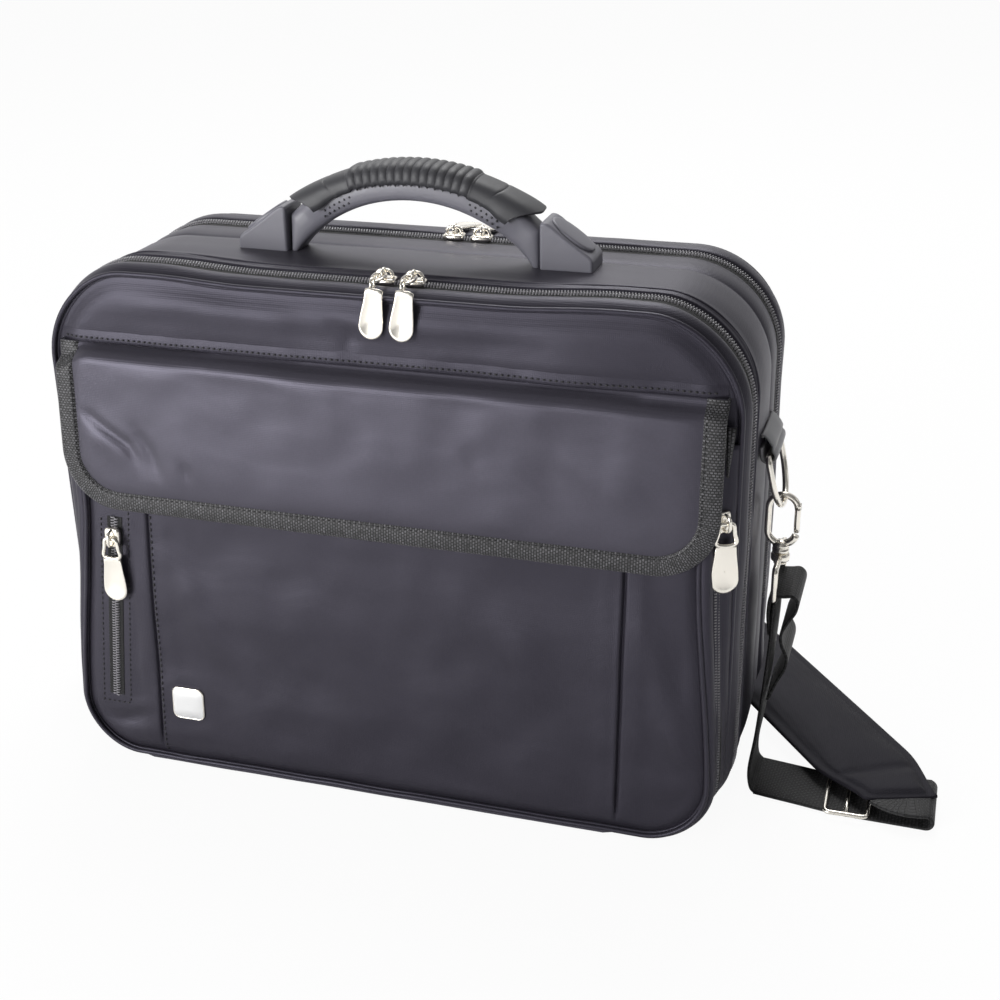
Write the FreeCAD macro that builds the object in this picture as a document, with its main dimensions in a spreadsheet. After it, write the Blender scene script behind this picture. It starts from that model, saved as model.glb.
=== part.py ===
import FreeCAD, Part
import math
import os
import types

import Sketcher

# A soft two-compartment medical bag with a moulded carrying handle and a shoulder strap.
# Millimetres. X runs to the right as the bag is seen from its pocket side, Y runs to the back
# and Z up. The origin is on the ground, below the middle of the band between the two main zips.

# Driving sizes
# Each row is a name, a value and what it measures.
SIZES = [
    ("bag_width", "400", "width over the side bands"),
    ("bag_height", "300", "height of the bag without its handle"),
    ("gusset_depth", "94", "distance between the two main zips"),
    ("top_radius", "54", "radius of the bag's upper corners"),
    ("base_radius", "40", "radius of the bag's lower corners"),
    ("wall", "3", "padded fabric, thickness"),
    ("gap", "0.3", "running gap between pieces that move past each other"),
    ("overrun", "5", "how far a cutting tool runs past what it cuts"),
    ("face_setback", "19", "depth of the front cover behind its face"),
    ("rear_depth", "28", "depth of the rear cover"),
    ("bevel", "5", "how far the rounded rim of a cover draws in"),
    ("bevel_depth", "6", "depth of that rounded rim"),
    ("strip_thickness", "2.4", "fabric hinge strip under the front cover"),
    ("strip_inset", "0.3", "gap at each end of the hinge strip"),
    ("fold_height", "90", "height at which the rear cover folds back"),
    ("fold_strip_height", "12", "binding below the rear cover's fold"),
    ("fold_strip_thickness", "1.6", "binding below the rear cover's fold"),
    ("tape_width", "7", "visible zip tape on each side of its chain"),
    ("tape_thickness", "1.6", "zip tape with its seam"),
    ("tape_sink", "0.6", "how far a zip tape lies below the band"),
    ("coil_half", "2.5", "half the width of a zip chain"),
    ("coil_height", "1.2", "height of a zip chain above its tape"),
    ("piping_width", "3", "piping round a face"),
    ("piping_height", "2.4", "how far piping stands off a face"),
    ("piping_inset", "4.5", "from the band to the piping"),
    ("divider_offset", "24", "divider, behind the middle of the bag"),
    ("divider_thickness", "3", "stiff panel between the compartments"),
    ("board_thickness", "3", "stiffener in the base"),
    ("pocket_inset", "4", "front pocket, in from the side bands"),
    ("pocket_top", "235", "height of the pocket's mouth"),
    ("pocket_wall", "2.4", "pocket fabric"),
    ("pocket_mouth_depth", "9", "how far the pocket stands out at its mouth"),
    ("pocket_base_depth", "26.5", "how far the pocket stands out at the ground"),
    ("flap_seam_height", "259", "height of the stitched seam that the flap hangs from"),
    ("flap_edge_height", "170", "height of the flap's lower edge"),
    ("flap_inset", "10", "flap, in from the side bands"),
    ("flap_corner", "34", "radius of the flap's lower corners"),
    ("flap_thickness", "2.4", "padded flap"),
    ("flap_standoff", "1.3", "flap fabric, in front of the pocket"),
    ("binding_width", "13", "woven binding round the flap"),
    ("binding_wrap", "0.9", "binding, thickness on each side"),
    ("fastener_length", "70", "hook-and-loop strip under the flap"),
    ("fastener_height", "20", "hook-and-loop strip, height"),
    ("fastener_thickness", "1.0", "hook or loop half, with the pile pressed flat"),
    ("fastener_level", "196", "height of the middle of the hook-and-loop strips"),
    ("badge_size", "20", "plain metal badge, side"),
    ("badge_thickness", "1.2", "badge"),
    ("badge_corner", "4", "badge, corner radius"),
    ("badge_inset", "74", "badge's middle, in from the pocket's left side"),
    ("badge_level", "42", "height of the badge's middle"),
    ("small_zip_drop", "13", "from the flap's lower edge to the short upright zip"),
    ("small_zip_width", "13", "short zip, over its tapes"),
    ("small_zip_inset", "30", "short zip, in from the pocket's left side"),
    ("small_zip_base", "41", "height of the short zip's lower end"),
    ("side_zip_length", "168", "zip in the pocket's side"),
    ("side_zip_width", "9", "side zip, over its tapes"),
    ("side_zip_base", "40", "height of the side zip's lower end"),
    ("side_zip_setback", "7", "side zip's middle, in front of the cover's face"),
    ("strip_tape", "1.0", "tape of a pocket zip"),
    ("handle_offset", "4", "handle, behind the middle of the bag"),
    ("handle_span", "148", "between the inner faces of the handle's brackets"),
    ("bracket_length", "30", "handle bracket, along the bag"),
    ("bracket_depth", "24", "handle bracket, across the bag"),
    ("bracket_rise", "27", "handle bracket, height at its inner face"),
    ("bracket_shoulder", "5", "flat top beside the inner face"),
    ("bracket_toe", "11", "handle bracket, height at its outer end"),
    ("bracket_bevel", "2.2", "bevel of the brackets' edges"),
    ("pivot_height", "11", "handle pins, above the bag's top"),
    ("pin_radius", "2.5", "handle pin"),
    ("pin_play", "0.06", "running clearance round a handle pin"),
    ("pin_reach", "9", "handle pin, length in the handle's arm"),
    ("pin_seat", "14", "handle pin, length in its bracket"),
    ("arm_depth", "18", "handle core, across the bag"),
    ("arm_tip", "10.2", "radius of the arms' lower ends about their pins"),
    ("arm_shoulder", "16", "height of the arms' straight outer edges"),
    ("core_bevel", "3", "bevel of the handle core's edges"),
    ("grip_clear", "33", "finger room under the handle"),
    ("arm_foot", "4.3", "width of the arms at the bag's top"),
    ("grip_top", "51", "height of the ribbed grip above the bag"),
    ("grip_fall", "23.34", "how far the line of the grip's top falls towards the brackets"),
    ("grip_width", "24", "grip, across the bag"),
    ("grip_thickness", "9.5", "soft cover over the handle's core"),
    ("grip_end_gap", "0.75", "from the brackets to the ends of the soft cover"),
    ("rib_count", "15", "ribs on the grip"),
    ("rib_pitch", "4.9", "between ribs"),
    ("rib_length", "2.9", "one rib, along the grip"),
    ("rib_height", "1.2", "ribs, above the grip"),
    ("plate_length", "224", "stiffening plate under the brackets"),
    ("plate_depth", "34", "stiffening plate, across"),
    ("plate_thickness", "2", "stiffening plate"),
    ("screw_radius", "2", "bracket screw"),
    ("screw_head_radius", "3.6", "bracket screw, head"),
    ("screw_head_height", "2", "bracket screw, head"),
    ("screw_grip", "9", "bracket screw, length in the bracket"),
    ("screw_spacing", "12", "between the two screws of a bracket"),
    ("ring_offset", "2", "strap rings, behind the middle of the bag"),
    ("ring_level", "208", "height of the strap rings' straight bars"),
    ("ring_wire", "1.8", "strap ring, wire radius"),
    ("ring_width", "46", "strap ring, outer width"),
    ("ring_drop", "38", "strap ring, height"),
    ("ring_bend", "3", "strap ring, radius of its upper corners"),
    ("ring_lean_angle", "13", "how far a strap ring leans out"),
    ("loop_wall", "3", "side loop, folded fabric"),
    ("loop_width", "36", "side loop"),
    ("loop_rise", "26", "side loop, height of its sewn tab"),
    ("loop_bore", "2.2", "side loop, radius of its fold"),
    ("hook_height", "34", "snap hook, height of its claw"),
    ("hook_width", "20", "snap hook, width of its claw"),
    ("hook_wire", "1.9", "snap hook, wire radius"),
    ("hook_collar_radius", "4.8", "snap hook, collar"),
    ("hook_collar_height", "5", "snap hook, collar"),
    ("swivel_radius", "2.1", "snap hook, swivel post"),
    ("swivel_play", "0.9", "snap hook, length of the post beyond the eye's boss"),
    ("swivel_head_radius", "3.6", "snap hook, riveted head of the post"),
    ("swivel_head_height", "1.6", "snap hook, riveted head"),
    ("gate_radius", "1.7", "snap hook, gate bar"),
    ("gate_length", "17", "snap hook, gate bar"),
    ("eye_width", "46", "strap eye, outer width"),
    ("eye_height", "23", "strap eye, height"),
    ("eye_wire", "1.8", "strap eye, wire radius"),
    ("eye_bend", "2.1", "strap eye, radius of its corners"),
    ("eye_boss_radius", "5.4", "strap eye, boss round the swivel post"),
    ("eye_boss_height", "5", "strap eye, boss"),
    ("strap_width", "38", "strap webbing"),
    ("strap_thickness", "2", "strap webbing"),
    ("fold_radius", "3", "inside radius where the strap turns back"),
    ("fold_lead", "0.9", "from the strap's fold to the shoulder pad"),
    ("fold_step_count", "6", "flat steps round the strap's fold"),
    ("pad_length", "300", "shoulder pad"),
    ("pad_width", "61", "shoulder pad, over its edges"),
    ("pad_thickness", "8", "shoulder pad"),
    ("pad_edge", "5", "how far the pad's edges taper"),
    ("pad_chamfer", "42", "length of the pad's tapered ends"),
    ("pad_tip", "41", "width of the pad's ends"),
    ("pad_turn_angle", "36.6", "pad, angle from straight back"),
    ("pad_tilt_angle", "1.05", "pad, how far its near end is raised"),
    ("glide_length", "26", "strap slider, along the strap"),
    ("glide_width", "46", "strap slider, across the strap"),
    ("glide_bar", "3.2", "strap slider, bars"),
    ("glide_thickness", "2.2", "strap slider"),
    ("front_pair_offset", "8", "front zip sliders, right of the middle"),
    ("rear_pair_offset", "16", "rear zip sliders, right of the middle"),
    ("pair_spacing", "17", "between the two sliders of a pair"),
    ("slider_length", "12", "zip slider"),
    ("slider_width", "9.6", "zip slider, widest"),
    ("slider_tail", "7", "zip slider, narrow end"),
    ("slider_waist", "2", "zip slider, from its middle to its widest point"),
    ("slider_height", "2.8", "zip slider, without its bridge"),
    ("slider_groove", "1.2", "zip slider, depth of the chain's channel"),
    ("bridge_length", "10.4", "slider bridge, length"),
    ("bridge_width", "2.2", "slider bridge, width"),
    ("bridge_hole", "3.1", "slider bridge, height of its opening"),
    ("bridge_bar", "1.5", "slider bridge, bar"),
    ("bridge_post", "2.2", "slider bridge, post"),
    ("pull_ring", "2.35", "pull's link ring, radius to the wire's middle"),
    ("pull_wire", "0.6", "pull's link ring, wire radius"),
    ("pull_reach", "22.5", "front pulls, from the chain to the plate"),
    ("pull_neck", "6", "pull, width at its narrow end"),
    ("pull_width", "15", "pull, widest"),
    ("pull_length", "32", "plate of a front pull"),
    ("pull_thickness", "1.8", "plate of a pull"),
    ("rear_pull_length", "38", "rear pull"),
    ("rear_neck_length", "9", "rear pull, neck between its link and its plate"),
    ("rear_pull_angle", "9", "angle that a rear pull hangs by"),
    ("side_pull_length", "40", "pull of a pocket zip"),
    ("side_pull_shoulder", "8.4", "pull of a pocket zip, width at its bar"),
    ("side_pull_bar", "2", "pull of a pocket zip, bar"),
    ("small_pull_angle", "3.2", "angle of the small zip's pull to the pocket"),
    ("side_pull_slot", "8", "pull of a pocket zip, slot length"),
    ("side_pull_slot_width", "3.4", "pull of a pocket zip, slot width"),
    ("wire_side_count", "6", "flat sides of a bent wire"),
    ("rod_side_count", "10", "flat sides of a small round bar"),
    ("bend_step_count", "2", "straight steps round a wire's tight bend"),
    ("bow_step_count", "8", "straight steps round half of a wire's wide bend"),
]


class Size:
    """A size with its value and the expression that gives it."""

    def __init__(self, value, text):
        self.value = float(value)
        self.text = text

    def __add__(self, other):
        return combine(self, other, "+")

    def __radd__(self, other):
        return combine(other, self, "+")

    def __sub__(self, other):
        return combine(self, other, "-")

    def __rsub__(self, other):
        return combine(other, self, "-")

    def __mul__(self, other):
        return combine(self, other, "*")

    def __rmul__(self, other):
        return combine(other, self, "*")

    def __truediv__(self, other):
        return combine(self, other, "/")

    def __neg__(self):
        return combine(0, self, "-")

    def __float__(self):
        return self.value


def as_size(number):
    if isinstance(number, Size):
        return number
    return Size(number, "(%s)" % repr(float(number)))


def combine(left, right, sign):
    left = as_size(left)
    right = as_size(right)
    value = {
        "+": lambda a, b: a + b,
        "-": lambda a, b: a - b,
        "*": lambda a, b: a * b,
        "/": lambda a, b: a / b,
    }[sign](left.value, right.value)
    return Size(value, "(%s %s %s)" % (left.text, sign, right.text))


def make_sheet(doc):
    sheet = doc.addObject("Spreadsheet::Sheet", "sizes")
    for row, (alias, value, note) in enumerate(SIZES, start=1):
        sheet.set("A%d" % row, alias)
        sheet.set("B%d" % row, value)
        sheet.set("C%d" % row, note)
        sheet.setAlias("B%d" % row, alias)
    doc.recompute()
    return types.SimpleNamespace(
        **{alias: Size(sheet.get(alias), "sizes." + alias) for alias, _, _ in SIZES}
    )


doc = FreeCAD.newDocument("medical_bag")
s = make_sheet(doc)

# Derived sizes
half_width = s.bag_width / 2
front_zip = -s.gusset_depth / 2
rear_zip = s.gusset_depth / 2
front_face = front_zip - s.face_setback
rear_face = rear_zip + s.rear_depth
zip_end = half_width - s.base_radius
strip_half = zip_end - s.strip_inset
cover_base = s.strip_thickness + s.gap
tape_level = s.bag_height - s.tape_sink
handle_half = s.handle_span / 2
pivot_level = s.bag_height + s.pivot_height
pocket_half = half_width - s.pocket_inset
pocket_slope = (s.pocket_base_depth - s.pocket_mouth_depth) / s.pocket_top
pocket_angle = math.degrees(math.atan(float(pocket_slope)))
front_hinge_y = front_face - s.pocket_base_depth - s.gap
gusset_edge = s.gusset_depth / 2 - s.tape_width
flap_half = half_width - s.flap_inset
small_zip_length = s.flap_edge_height - s.small_zip_drop - s.small_zip_base


# Helpers

def vec(x, y, z):
    return FreeCAD.Vector(float(x), float(y), float(z))


def turn(axis, angle):
    return FreeCAD.Rotation(axis, float(angle))


X_AXIS = FreeCAD.Vector(1, 0, 0)
Y_AXIS = FreeCAD.Vector(0, 1, 0)
Z_AXIS = FreeCAD.Vector(0, 0, 1)


def label(item, name):
    item.Label = name
    return item


def feature(name, shape, placement=None):
    """A sub-part whose shape is worked out here from the sheet's sizes."""
    item = doc.addObject("Part::Feature", name)
    item.Shape = shape
    if placement is not None:
        item.Placement = placement
    return label(item, name)


def bind(item, prop, size):
    item.setExpression(prop, as_size(size).text)


def box(name, x_size, y_size, z_size, corner):
    """A Part::Box whose sides and place follow the sheet."""
    item = doc.addObject("Part::Box", name)
    bind(item, "Length", x_size)
    bind(item, "Width", y_size)
    bind(item, "Height", z_size)
    for axis, size in zip("xyz", corner):
        bind(item, "Placement.Base." + axis, size)
    return label(item, name)


def block(x0, x1, y0, y1, z0, z1):
    """A plain box between two corners, for building shapes."""
    return Part.makeBox(float(x1 - x0), float(y1 - y0), float(z1 - z0), vec(x0, y0, z0))


def round_points(centre, radius, start, spread, steps):
    """Points of an arc as pairs, from a starting angle over a spread, in degrees."""
    points = []
    for number in range(steps + 1):
        angle = math.radians(start + spread * number / steps)
        across = centre[0] + radius * math.cos(angle)
        along = centre[1] + radius * math.sin(angle)
        points.append((across, along))
    return points


def faceted(rows, closed=False):
    """A solid with flat faces through rows of points; each row is one section."""
    turns = list(zip(rows[:-1], rows[1:]))
    if closed:
        turns.append((rows[-1], rows[0]))
    corners = []
    for first, second in turns:
        for i, point in enumerate(first):
            j = (i + 1) % len(first)
            corners.append([point, first[j], second[j]])
            corners.append([point, second[j], second[i]])
    if not closed:
        corners += [rows[0], rows[-1]]
    faces = [Part.Face(Part.makePolygon(points + points[:1])) for points in corners]
    solid = Part.Solid(Part.Shell(faces))
    if solid.Volume < 0:
        solid.reverse()
    return solid


def wire_rod(points, radius, flat, closed=False):
    """A wire bent in one plane, with flat sides; flat is the plane's normal."""
    count = len(points)
    sides = int(float(s.wire_side_count))
    rows = []
    for i, point in enumerate(points):
        before = points[i - 1] if i or closed else point
        after = points[(i + 1) % count] if closed or i + 1 < count else point
        side = (after - before).normalize().cross(flat)
        section = round_points((0, 0), float(radius), 0, 360, sides)[:sides]
        rows.append([point + flat * across + side * along for across, along in section])
    return faceted(rows, closed)


def rod(radius, start, height, axis):
    """A small round bar with flat sides, from a point along an axis."""
    across = X_AXIS if axis == Z_AXIS else Z_AXIS
    side = axis.cross(across)
    section = round_points((0, 0), float(radius), 0, 360, int(float(s.rod_side_count)))
    corners = [start + across * u + side * v for u, v in section[:-1]]
    return Part.Face(Part.makePolygon(corners + corners[:1])).extrude(axis * float(height))


def fuse_all(shapes):
    result = shapes[0]
    if len(shapes) > 1:
        result = result.multiFuse(shapes[1:])
    return result.removeSplitter()


# Sketches

def plane_of(body, role):
    for item in body.Origin.OriginFeatures:
        if item.Role == role:
            return item
    raise ValueError(role)


def new_body(name):
    return label(doc.addObject("PartDesign::Body", name), name)


def new_sketch(body, role, offset=None):
    sketch = body.newObject("Sketcher::SketchObject", body.Name + "_sketch")
    sketch.AttachmentSupport = [(plane_of(body, role), "")]
    sketch.MapMode = "FlatFace"
    if offset is not None:
        bind(sketch, "AttachmentOffset.Base.z", offset)
    return sketch


def pin_point(sketch, index, end, x, y):
    """Fix one point of a sketch with two dimensions taken from the sheet."""
    for kind, size in (("DistanceX", as_size(x)), ("DistanceY", as_size(y))):
        number = sketch.addConstraint(Sketcher.Constraint(kind, -1, 1, index, end, size.value))
        sketch.setExpression("Constraints[%d]" % number, size.text)


def polygon(sketch, corners):
    """A closed outline through corners given as pairs of sizes."""
    first = sketch.GeometryCount
    count = len(corners)
    for i in range(count):
        ax, ay = corners[i]
        bx, by = corners[(i + 1) % count]
        sketch.addGeometry(Part.LineSegment(vec(ax, ay, 0), vec(bx, by, 0)), False)
    for i in range(count):
        sketch.addConstraint(Sketcher.Constraint("Coincident", first + i, 2, first + (i + 1) % count, 1))
    for i, (x, y) in enumerate(corners):
        pin_point(sketch, first + i, 1, x, y)


def rectangle(sketch, x0, x1, y0, y1):
    polygon(sketch, [(x0, y0), (x1, y0), (x1, y1), (x0, y1)])


def circle(sketch, x, y, radius):
    index = sketch.addGeometry(Part.Circle(vec(x, y, 0), Z_AXIS, float(radius)), False)
    pin_point(sketch, index, 3, x, y)
    number = sketch.addConstraint(Sketcher.Constraint("Radius", index, float(radius)))
    bind(sketch, "Constraints[%d]" % number, radius)


def small_hole(sketch, x, y, radius):
    """A round hole's outline with as many flat sides as a small bar has."""
    count = int(float(s.rod_side_count))
    turns = [2 * math.pi * number / count for number in range(count)]
    polygon(sketch, [(x + radius * math.cos(turn), y + radius * math.sin(turn)) for turn in turns])


def pad(body, sketch, length, both_ways=False):
    item = body.newObject("PartDesign::Pad", body.Name + "_pad")
    item.Profile = sketch
    item.SideType = "Symmetric" if both_ways else "One side"
    bind(item, "Length", length)
    doc.recompute()
    return item


def pocket(body, sketch, length, both_ways=False):
    """A pocket that must take material away."""
    before = body.Shape.Volume
    item = body.newObject("PartDesign::Pocket", body.Name + "_pocket")
    item.Profile = sketch
    item.SideType = "Symmetric" if both_ways else "One side"
    bind(item, "Length", length)
    doc.recompute()
    if body.Shape.Volume >= before:
        raise ValueError(body.Label + ": a pocket cuts nothing")
    return item


def soften_edges(body, base, size, wanted, kind="Fillet"):
    """Round or bevel the edges of a feature that pass a test."""
    names = []
    for number, edge in enumerate(base.Shape.Edges, start=1):
        if wanted(edge):
            names.append("Edge%d" % number)
    item = body.newObject("PartDesign::" + kind, body.Name + "_soft")
    item.Base = (base, names)
    bind(item, "Radius" if kind == "Fillet" else "Size", size)
    doc.recompute()
    return item


def runs_along(edge, axis):
    if edge.Curve.TypeId != "Part::GeomLine":
        return False
    return abs(edge.Curve.Direction.dot(axis)) > math.cos(math.radians(1))


# The bag's outline

def outline(inset, y):
    """The bag's rounded outline, drawn in from the bands by an inset, in the plane at y."""
    right = float(half_width - inset)
    top = float(s.bag_height - inset)
    base = float(inset)
    upper = float(s.top_radius - inset)
    lower = float(s.base_radius - inset)
    y = float(y)

    def arc(cx, cz, radius, start):
        points = []
        for share in (0, 0.5, 1):
            angle = math.radians(start + 90 * share)
            points.append(vec(cx + radius * math.cos(angle), y, cz + radius * math.sin(angle)))
        return Part.Arc(*points).toShape()

    arcs = [
        arc(right - upper, top - upper, upper, 0),
        arc(-right + upper, top - upper, upper, 90),
        arc(-right + lower, base + lower, lower, 180),
        arc(right - lower, base + lower, lower, 270),
    ]
    edges = []
    for i, edge in enumerate(arcs):
        following = arcs[(i + 1) % len(arcs)]
        edges.append(edge)
        edges.append(Part.makeLine(edge.lastVertex().Point, following.firstVertex().Point))
    return Part.Wire(edges)


def slab(inset, y0, y1):
    """The solid inside the outline between two planes."""
    return Part.Face(outline(inset, y0)).extrude(vec(0, float(y1) - float(y0), 0))


def ring(inset, thickness, y0, y1):
    """A band that follows the outline between two planes."""
    return slab(inset, y0, y1).cut(slab(inset + thickness, y0, y1))


def drawn_in(inset0, y0, inset1, y1):
    """A stretch of the outline that draws in from one plane to the next."""
    return Part.makeLoft([outline(inset0, y0), outline(inset1, y1)], True, True)


def lift(shape, level):
    """Cut off whatever lies below a level."""
    bounds = shape.BoundBox
    tool = block(
        bounds.XMin - s.overrun, bounds.XMax + s.overrun,
        bounds.YMin - s.overrun, bounds.YMax + s.overrun,
        bounds.ZMin - s.overrun, level,
    )
    return shape.cut(tool)


def lower(shape, level):
    """Cut off whatever lies above a level."""
    bounds = shape.BoundBox
    tool = block(
        bounds.XMin - s.overrun, bounds.XMax + s.overrun,
        bounds.YMin - s.overrun, bounds.YMax + s.overrun,
        level, bounds.ZMax + s.overrun,
    )
    return shape.cut(tool)


def cut_middle(shape, half, height):
    """Leave a band open along the middle of its underside."""
    bounds = shape.BoundBox
    tool = block(
        -half, half,
        bounds.YMin - s.overrun, bounds.YMax + s.overrun,
        bounds.ZMin - s.overrun, height,
    )
    return shape.cut(tool)


# The case: the band between the zips and what is fixed to it

def make_gusset_band():
    """The padded band that runs round the bag, open to both compartments."""
    band = ring(0, s.wall, -gusset_edge, gusset_edge)
    holes = [screw_hole(x, y, s.bag_height - s.wall) for x, y in screw_places()]
    return feature("gusset_band", band.cut(Part.Compound(holes)))


def screw_places():
    places = []
    for side in (-1, 1):
        for step in (-1, 1):
            x = side * (handle_half + s.bracket_length / 2)
            y = s.handle_offset + step * s.screw_spacing / 2
            places.append((x, y))
    return places


def screw_hole(x, y, level):
    low = level - s.plate_thickness - s.overrun
    height = s.wall + s.plate_thickness + s.screw_grip + s.overrun
    return rod(s.screw_radius + s.gap / 2, vec(x, y, low), height, Z_AXIS)


def make_divider():
    """The stiff panel that parts the two compartments and stands on the base board."""
    middle = s.divider_offset
    half = s.divider_thickness / 2
    panel = slab(s.wall + s.gap, middle - half, middle + half)
    return feature("divider_panel", lift(panel, s.wall + s.board_thickness))


def make_base_board():
    return box(
        "base_board", 2 * strip_half, 2 * gusset_edge, s.board_thickness,
        (-strip_half, -gusset_edge, s.wall),
    )


def make_front_hinge_strip():
    """The flat fabric under the front cover, on which the cover swings forward."""
    return box(
        "front_hinge_strip", 2 * strip_half, -front_hinge_y - gusset_edge, s.strip_thickness,
        (-strip_half, front_hinge_y, 0),
    )


def make_fold_strip():
    """The binding sewn across the back, just below the line that the rear cover folds on."""
    half = half_width - s.base_radius
    return box(
        "rear_fold_strip", 2 * half, s.fold_strip_thickness, s.fold_strip_height,
        (-half, rear_face, s.fold_height - s.fold_strip_height),
    )


def tape(name, chain_plane, direction, base_level):
    """One half of a main zip: the tape and its half of the chain, open along the ground."""
    near = chain_plane + direction * s.gap / 2
    far = chain_plane + direction * s.tape_width
    crest = chain_plane + direction * s.coil_half
    low, high = sorted((float(near), float(far)))
    band = ring(s.tape_sink, s.tape_thickness, low, high)
    low, high = sorted((float(near), float(crest)))
    bead = ring(s.tape_sink - s.coil_height, s.coil_height, low, high)
    pieces = [lift(cut_middle(part, zip_end, s.base_radius / 2), base_level) for part in (band, bead)]
    return feature(name, Part.Compound(pieces))


def make_backing_plate():
    """The stiffener inside the bag's top that the handle's screws pull against."""
    body = new_body("handle_backing_plate")
    sketch = new_sketch(body, "XY_Plane", s.bag_height - s.wall - s.plate_thickness)
    half = s.plate_length / 2
    depth = s.plate_depth / 2
    rectangle(sketch, -half, half, s.handle_offset - depth, s.handle_offset + depth)
    pad(body, sketch, s.plate_thickness)
    holes = new_sketch(body, "XY_Plane", s.bag_height - s.wall)
    for x, y in screw_places():
        small_hole(holes, x, y, s.screw_radius + s.gap / 2)
    pocket(body, holes, s.plate_thickness)


def make_screws():
    """Two screws for each bracket, from inside the bag."""
    under = s.bag_height - s.wall - s.plate_thickness
    shank = s.plate_thickness + s.wall + s.screw_grip - s.gap
    screws = []
    for x, y in screw_places():
        base = vec(x, y, under - s.screw_head_height)
        head = rod(s.screw_head_radius, base, s.screw_head_height, Z_AXIS)
        stem = rod(s.screw_radius, vec(x, y, under), shank, Z_AXIS)
        screws.append(fuse_all([head, stem]))
    feature("bracket_screws", Part.Compound(screws))


def make_bracket(name, side):
    """A moulded wedge that holds one end of the handle."""
    body = new_body(name)
    sketch = new_sketch(body, "XZ_Plane", -s.handle_offset)
    inner = side * handle_half
    outer = side * (handle_half + s.bracket_length)
    shoulder = side * (handle_half + s.bracket_shoulder)
    polygon(sketch, [
        (inner, s.bag_height),
        (outer, s.bag_height),
        (outer, s.bag_height + s.bracket_toe),
        (shoulder, s.bag_height + s.bracket_rise),
        (inner, s.bag_height + s.bracket_rise),
    ])
    wedge = pad(body, sketch, s.bracket_depth, both_ways=True)
    inner_x = float(inner)
    top = float(s.bag_height)

    def outside(edge):
        middle = edge.CenterOfMass
        return middle.z > top + float(s.gap) and abs(middle.x - inner_x) > float(s.gap)

    soften_edges(body, wedge, s.bracket_bevel, outside, "Chamfer")
    pin = new_sketch(body, "YZ_Plane", inner)
    circle(pin, s.handle_offset, pivot_level, s.pin_radius)
    cut_towards(body, pin, s.pin_seat, side)
    screws = new_sketch(body, "XY_Plane", s.bag_height)
    for x, y in screw_places():
        if float(x) * side > 0:
            small_hole(screws, x, y, s.screw_radius)
    cut_towards(body, screws, s.screw_grip, 1)


def cut_towards(body, sketch, length, side):
    """A pocket that runs along its plane's normal, or against it for a side of -1."""
    before = body.Shape.Volume
    item = body.newObject("PartDesign::Pocket", body.Name + "_pocket")
    item.Profile = sketch
    item.Reversed = side > 0
    bind(item, "Length", length)
    doc.recompute()
    if body.Shape.Volume >= before:
        raise ValueError(body.Label + ": a pocket cuts nothing")


def ring_path(width, height, bend):
    """A strap ring's middle line: a straight bar on top and a wide bend below, in the YZ plane."""
    half = float(width) / 2
    drop = float(height)
    bend = float(bend)
    tight = int(float(s.bend_step_count))
    wide = int(float(s.bow_step_count))
    points = round_points((half - bend, -bend), bend, 90, -90, tight)
    points += round_points((0, half - drop), half, 0, -180, wide)
    points += round_points((bend - half, -bend), bend, 180, -90, tight)
    return [vec(0, y, z) for y, z in points]


loop_middle = half_width + s.loop_bore + s.loop_wall


def make_side_loop(name, side):
    """The tab sewn to the band, folded round the strap ring's bar."""
    low = s.ring_offset - s.loop_width / 2
    start = vec(side * loop_middle, low, s.ring_level)
    outer = rod(s.loop_bore + s.loop_wall, start, s.loop_width, Y_AXIS)
    bore = rod(s.loop_bore + s.gap / 2, start, s.loop_width, Y_AXIS)
    ends = sorted((float(side * half_width), float(side * (half_width + s.loop_wall))))
    tab = block(
        ends[0], ends[1], low, low + s.loop_width,
        s.ring_level - s.loop_bore, s.ring_level + s.loop_rise,
    )
    within = block(
        -loop_middle - s.loop_wall - s.overrun if side < 0 else half_width,
        -half_width if side < 0 else loop_middle + s.loop_wall + s.overrun,
        low, low + s.loop_width, s.ring_level - s.loop_rise, s.ring_level + s.loop_rise,
    )
    feature(name, outer.fuse(tab).cut(bore).common(within).removeSplitter())


def make_strap_ring(name, side):
    """The metal ring that hangs from a side loop and leans out with the hook's weight."""
    path = ring_path(s.ring_width - 2 * s.ring_wire, s.ring_drop - 2 * s.ring_wire, s.ring_bend)
    solid = wire_rod(path, s.ring_wire, X_AXIS, closed=True)
    place = FreeCAD.Placement(
        vec(side * loop_middle, s.ring_offset, s.ring_level), turn(Y_AXIS, -side * float(s.ring_lean_angle))
    )
    feature(name, solid, place)


lean = math.radians(float(s.ring_lean_angle))
bar_drop = s.ring_drop - 2 * s.ring_wire
bar_x = loop_middle + bar_drop * math.sin(lean)
bar_level = s.ring_level - bar_drop * math.cos(lean)
hook_top = bar_level + s.ring_wire + s.gap + s.hook_wire
hook_base = hook_top - s.hook_height + 2 * s.hook_wire
collar_top = hook_base + s.hook_wire
collar_base = collar_top - s.hook_collar_height - s.hook_wire
eye_top = collar_base - s.gap
eye_bar_level = eye_top - s.eye_height + s.eye_wire
gate_x = s.hook_width / 2 - s.hook_wire
gate_base = hook_base + s.hook_width / 2 - s.hook_wire


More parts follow.
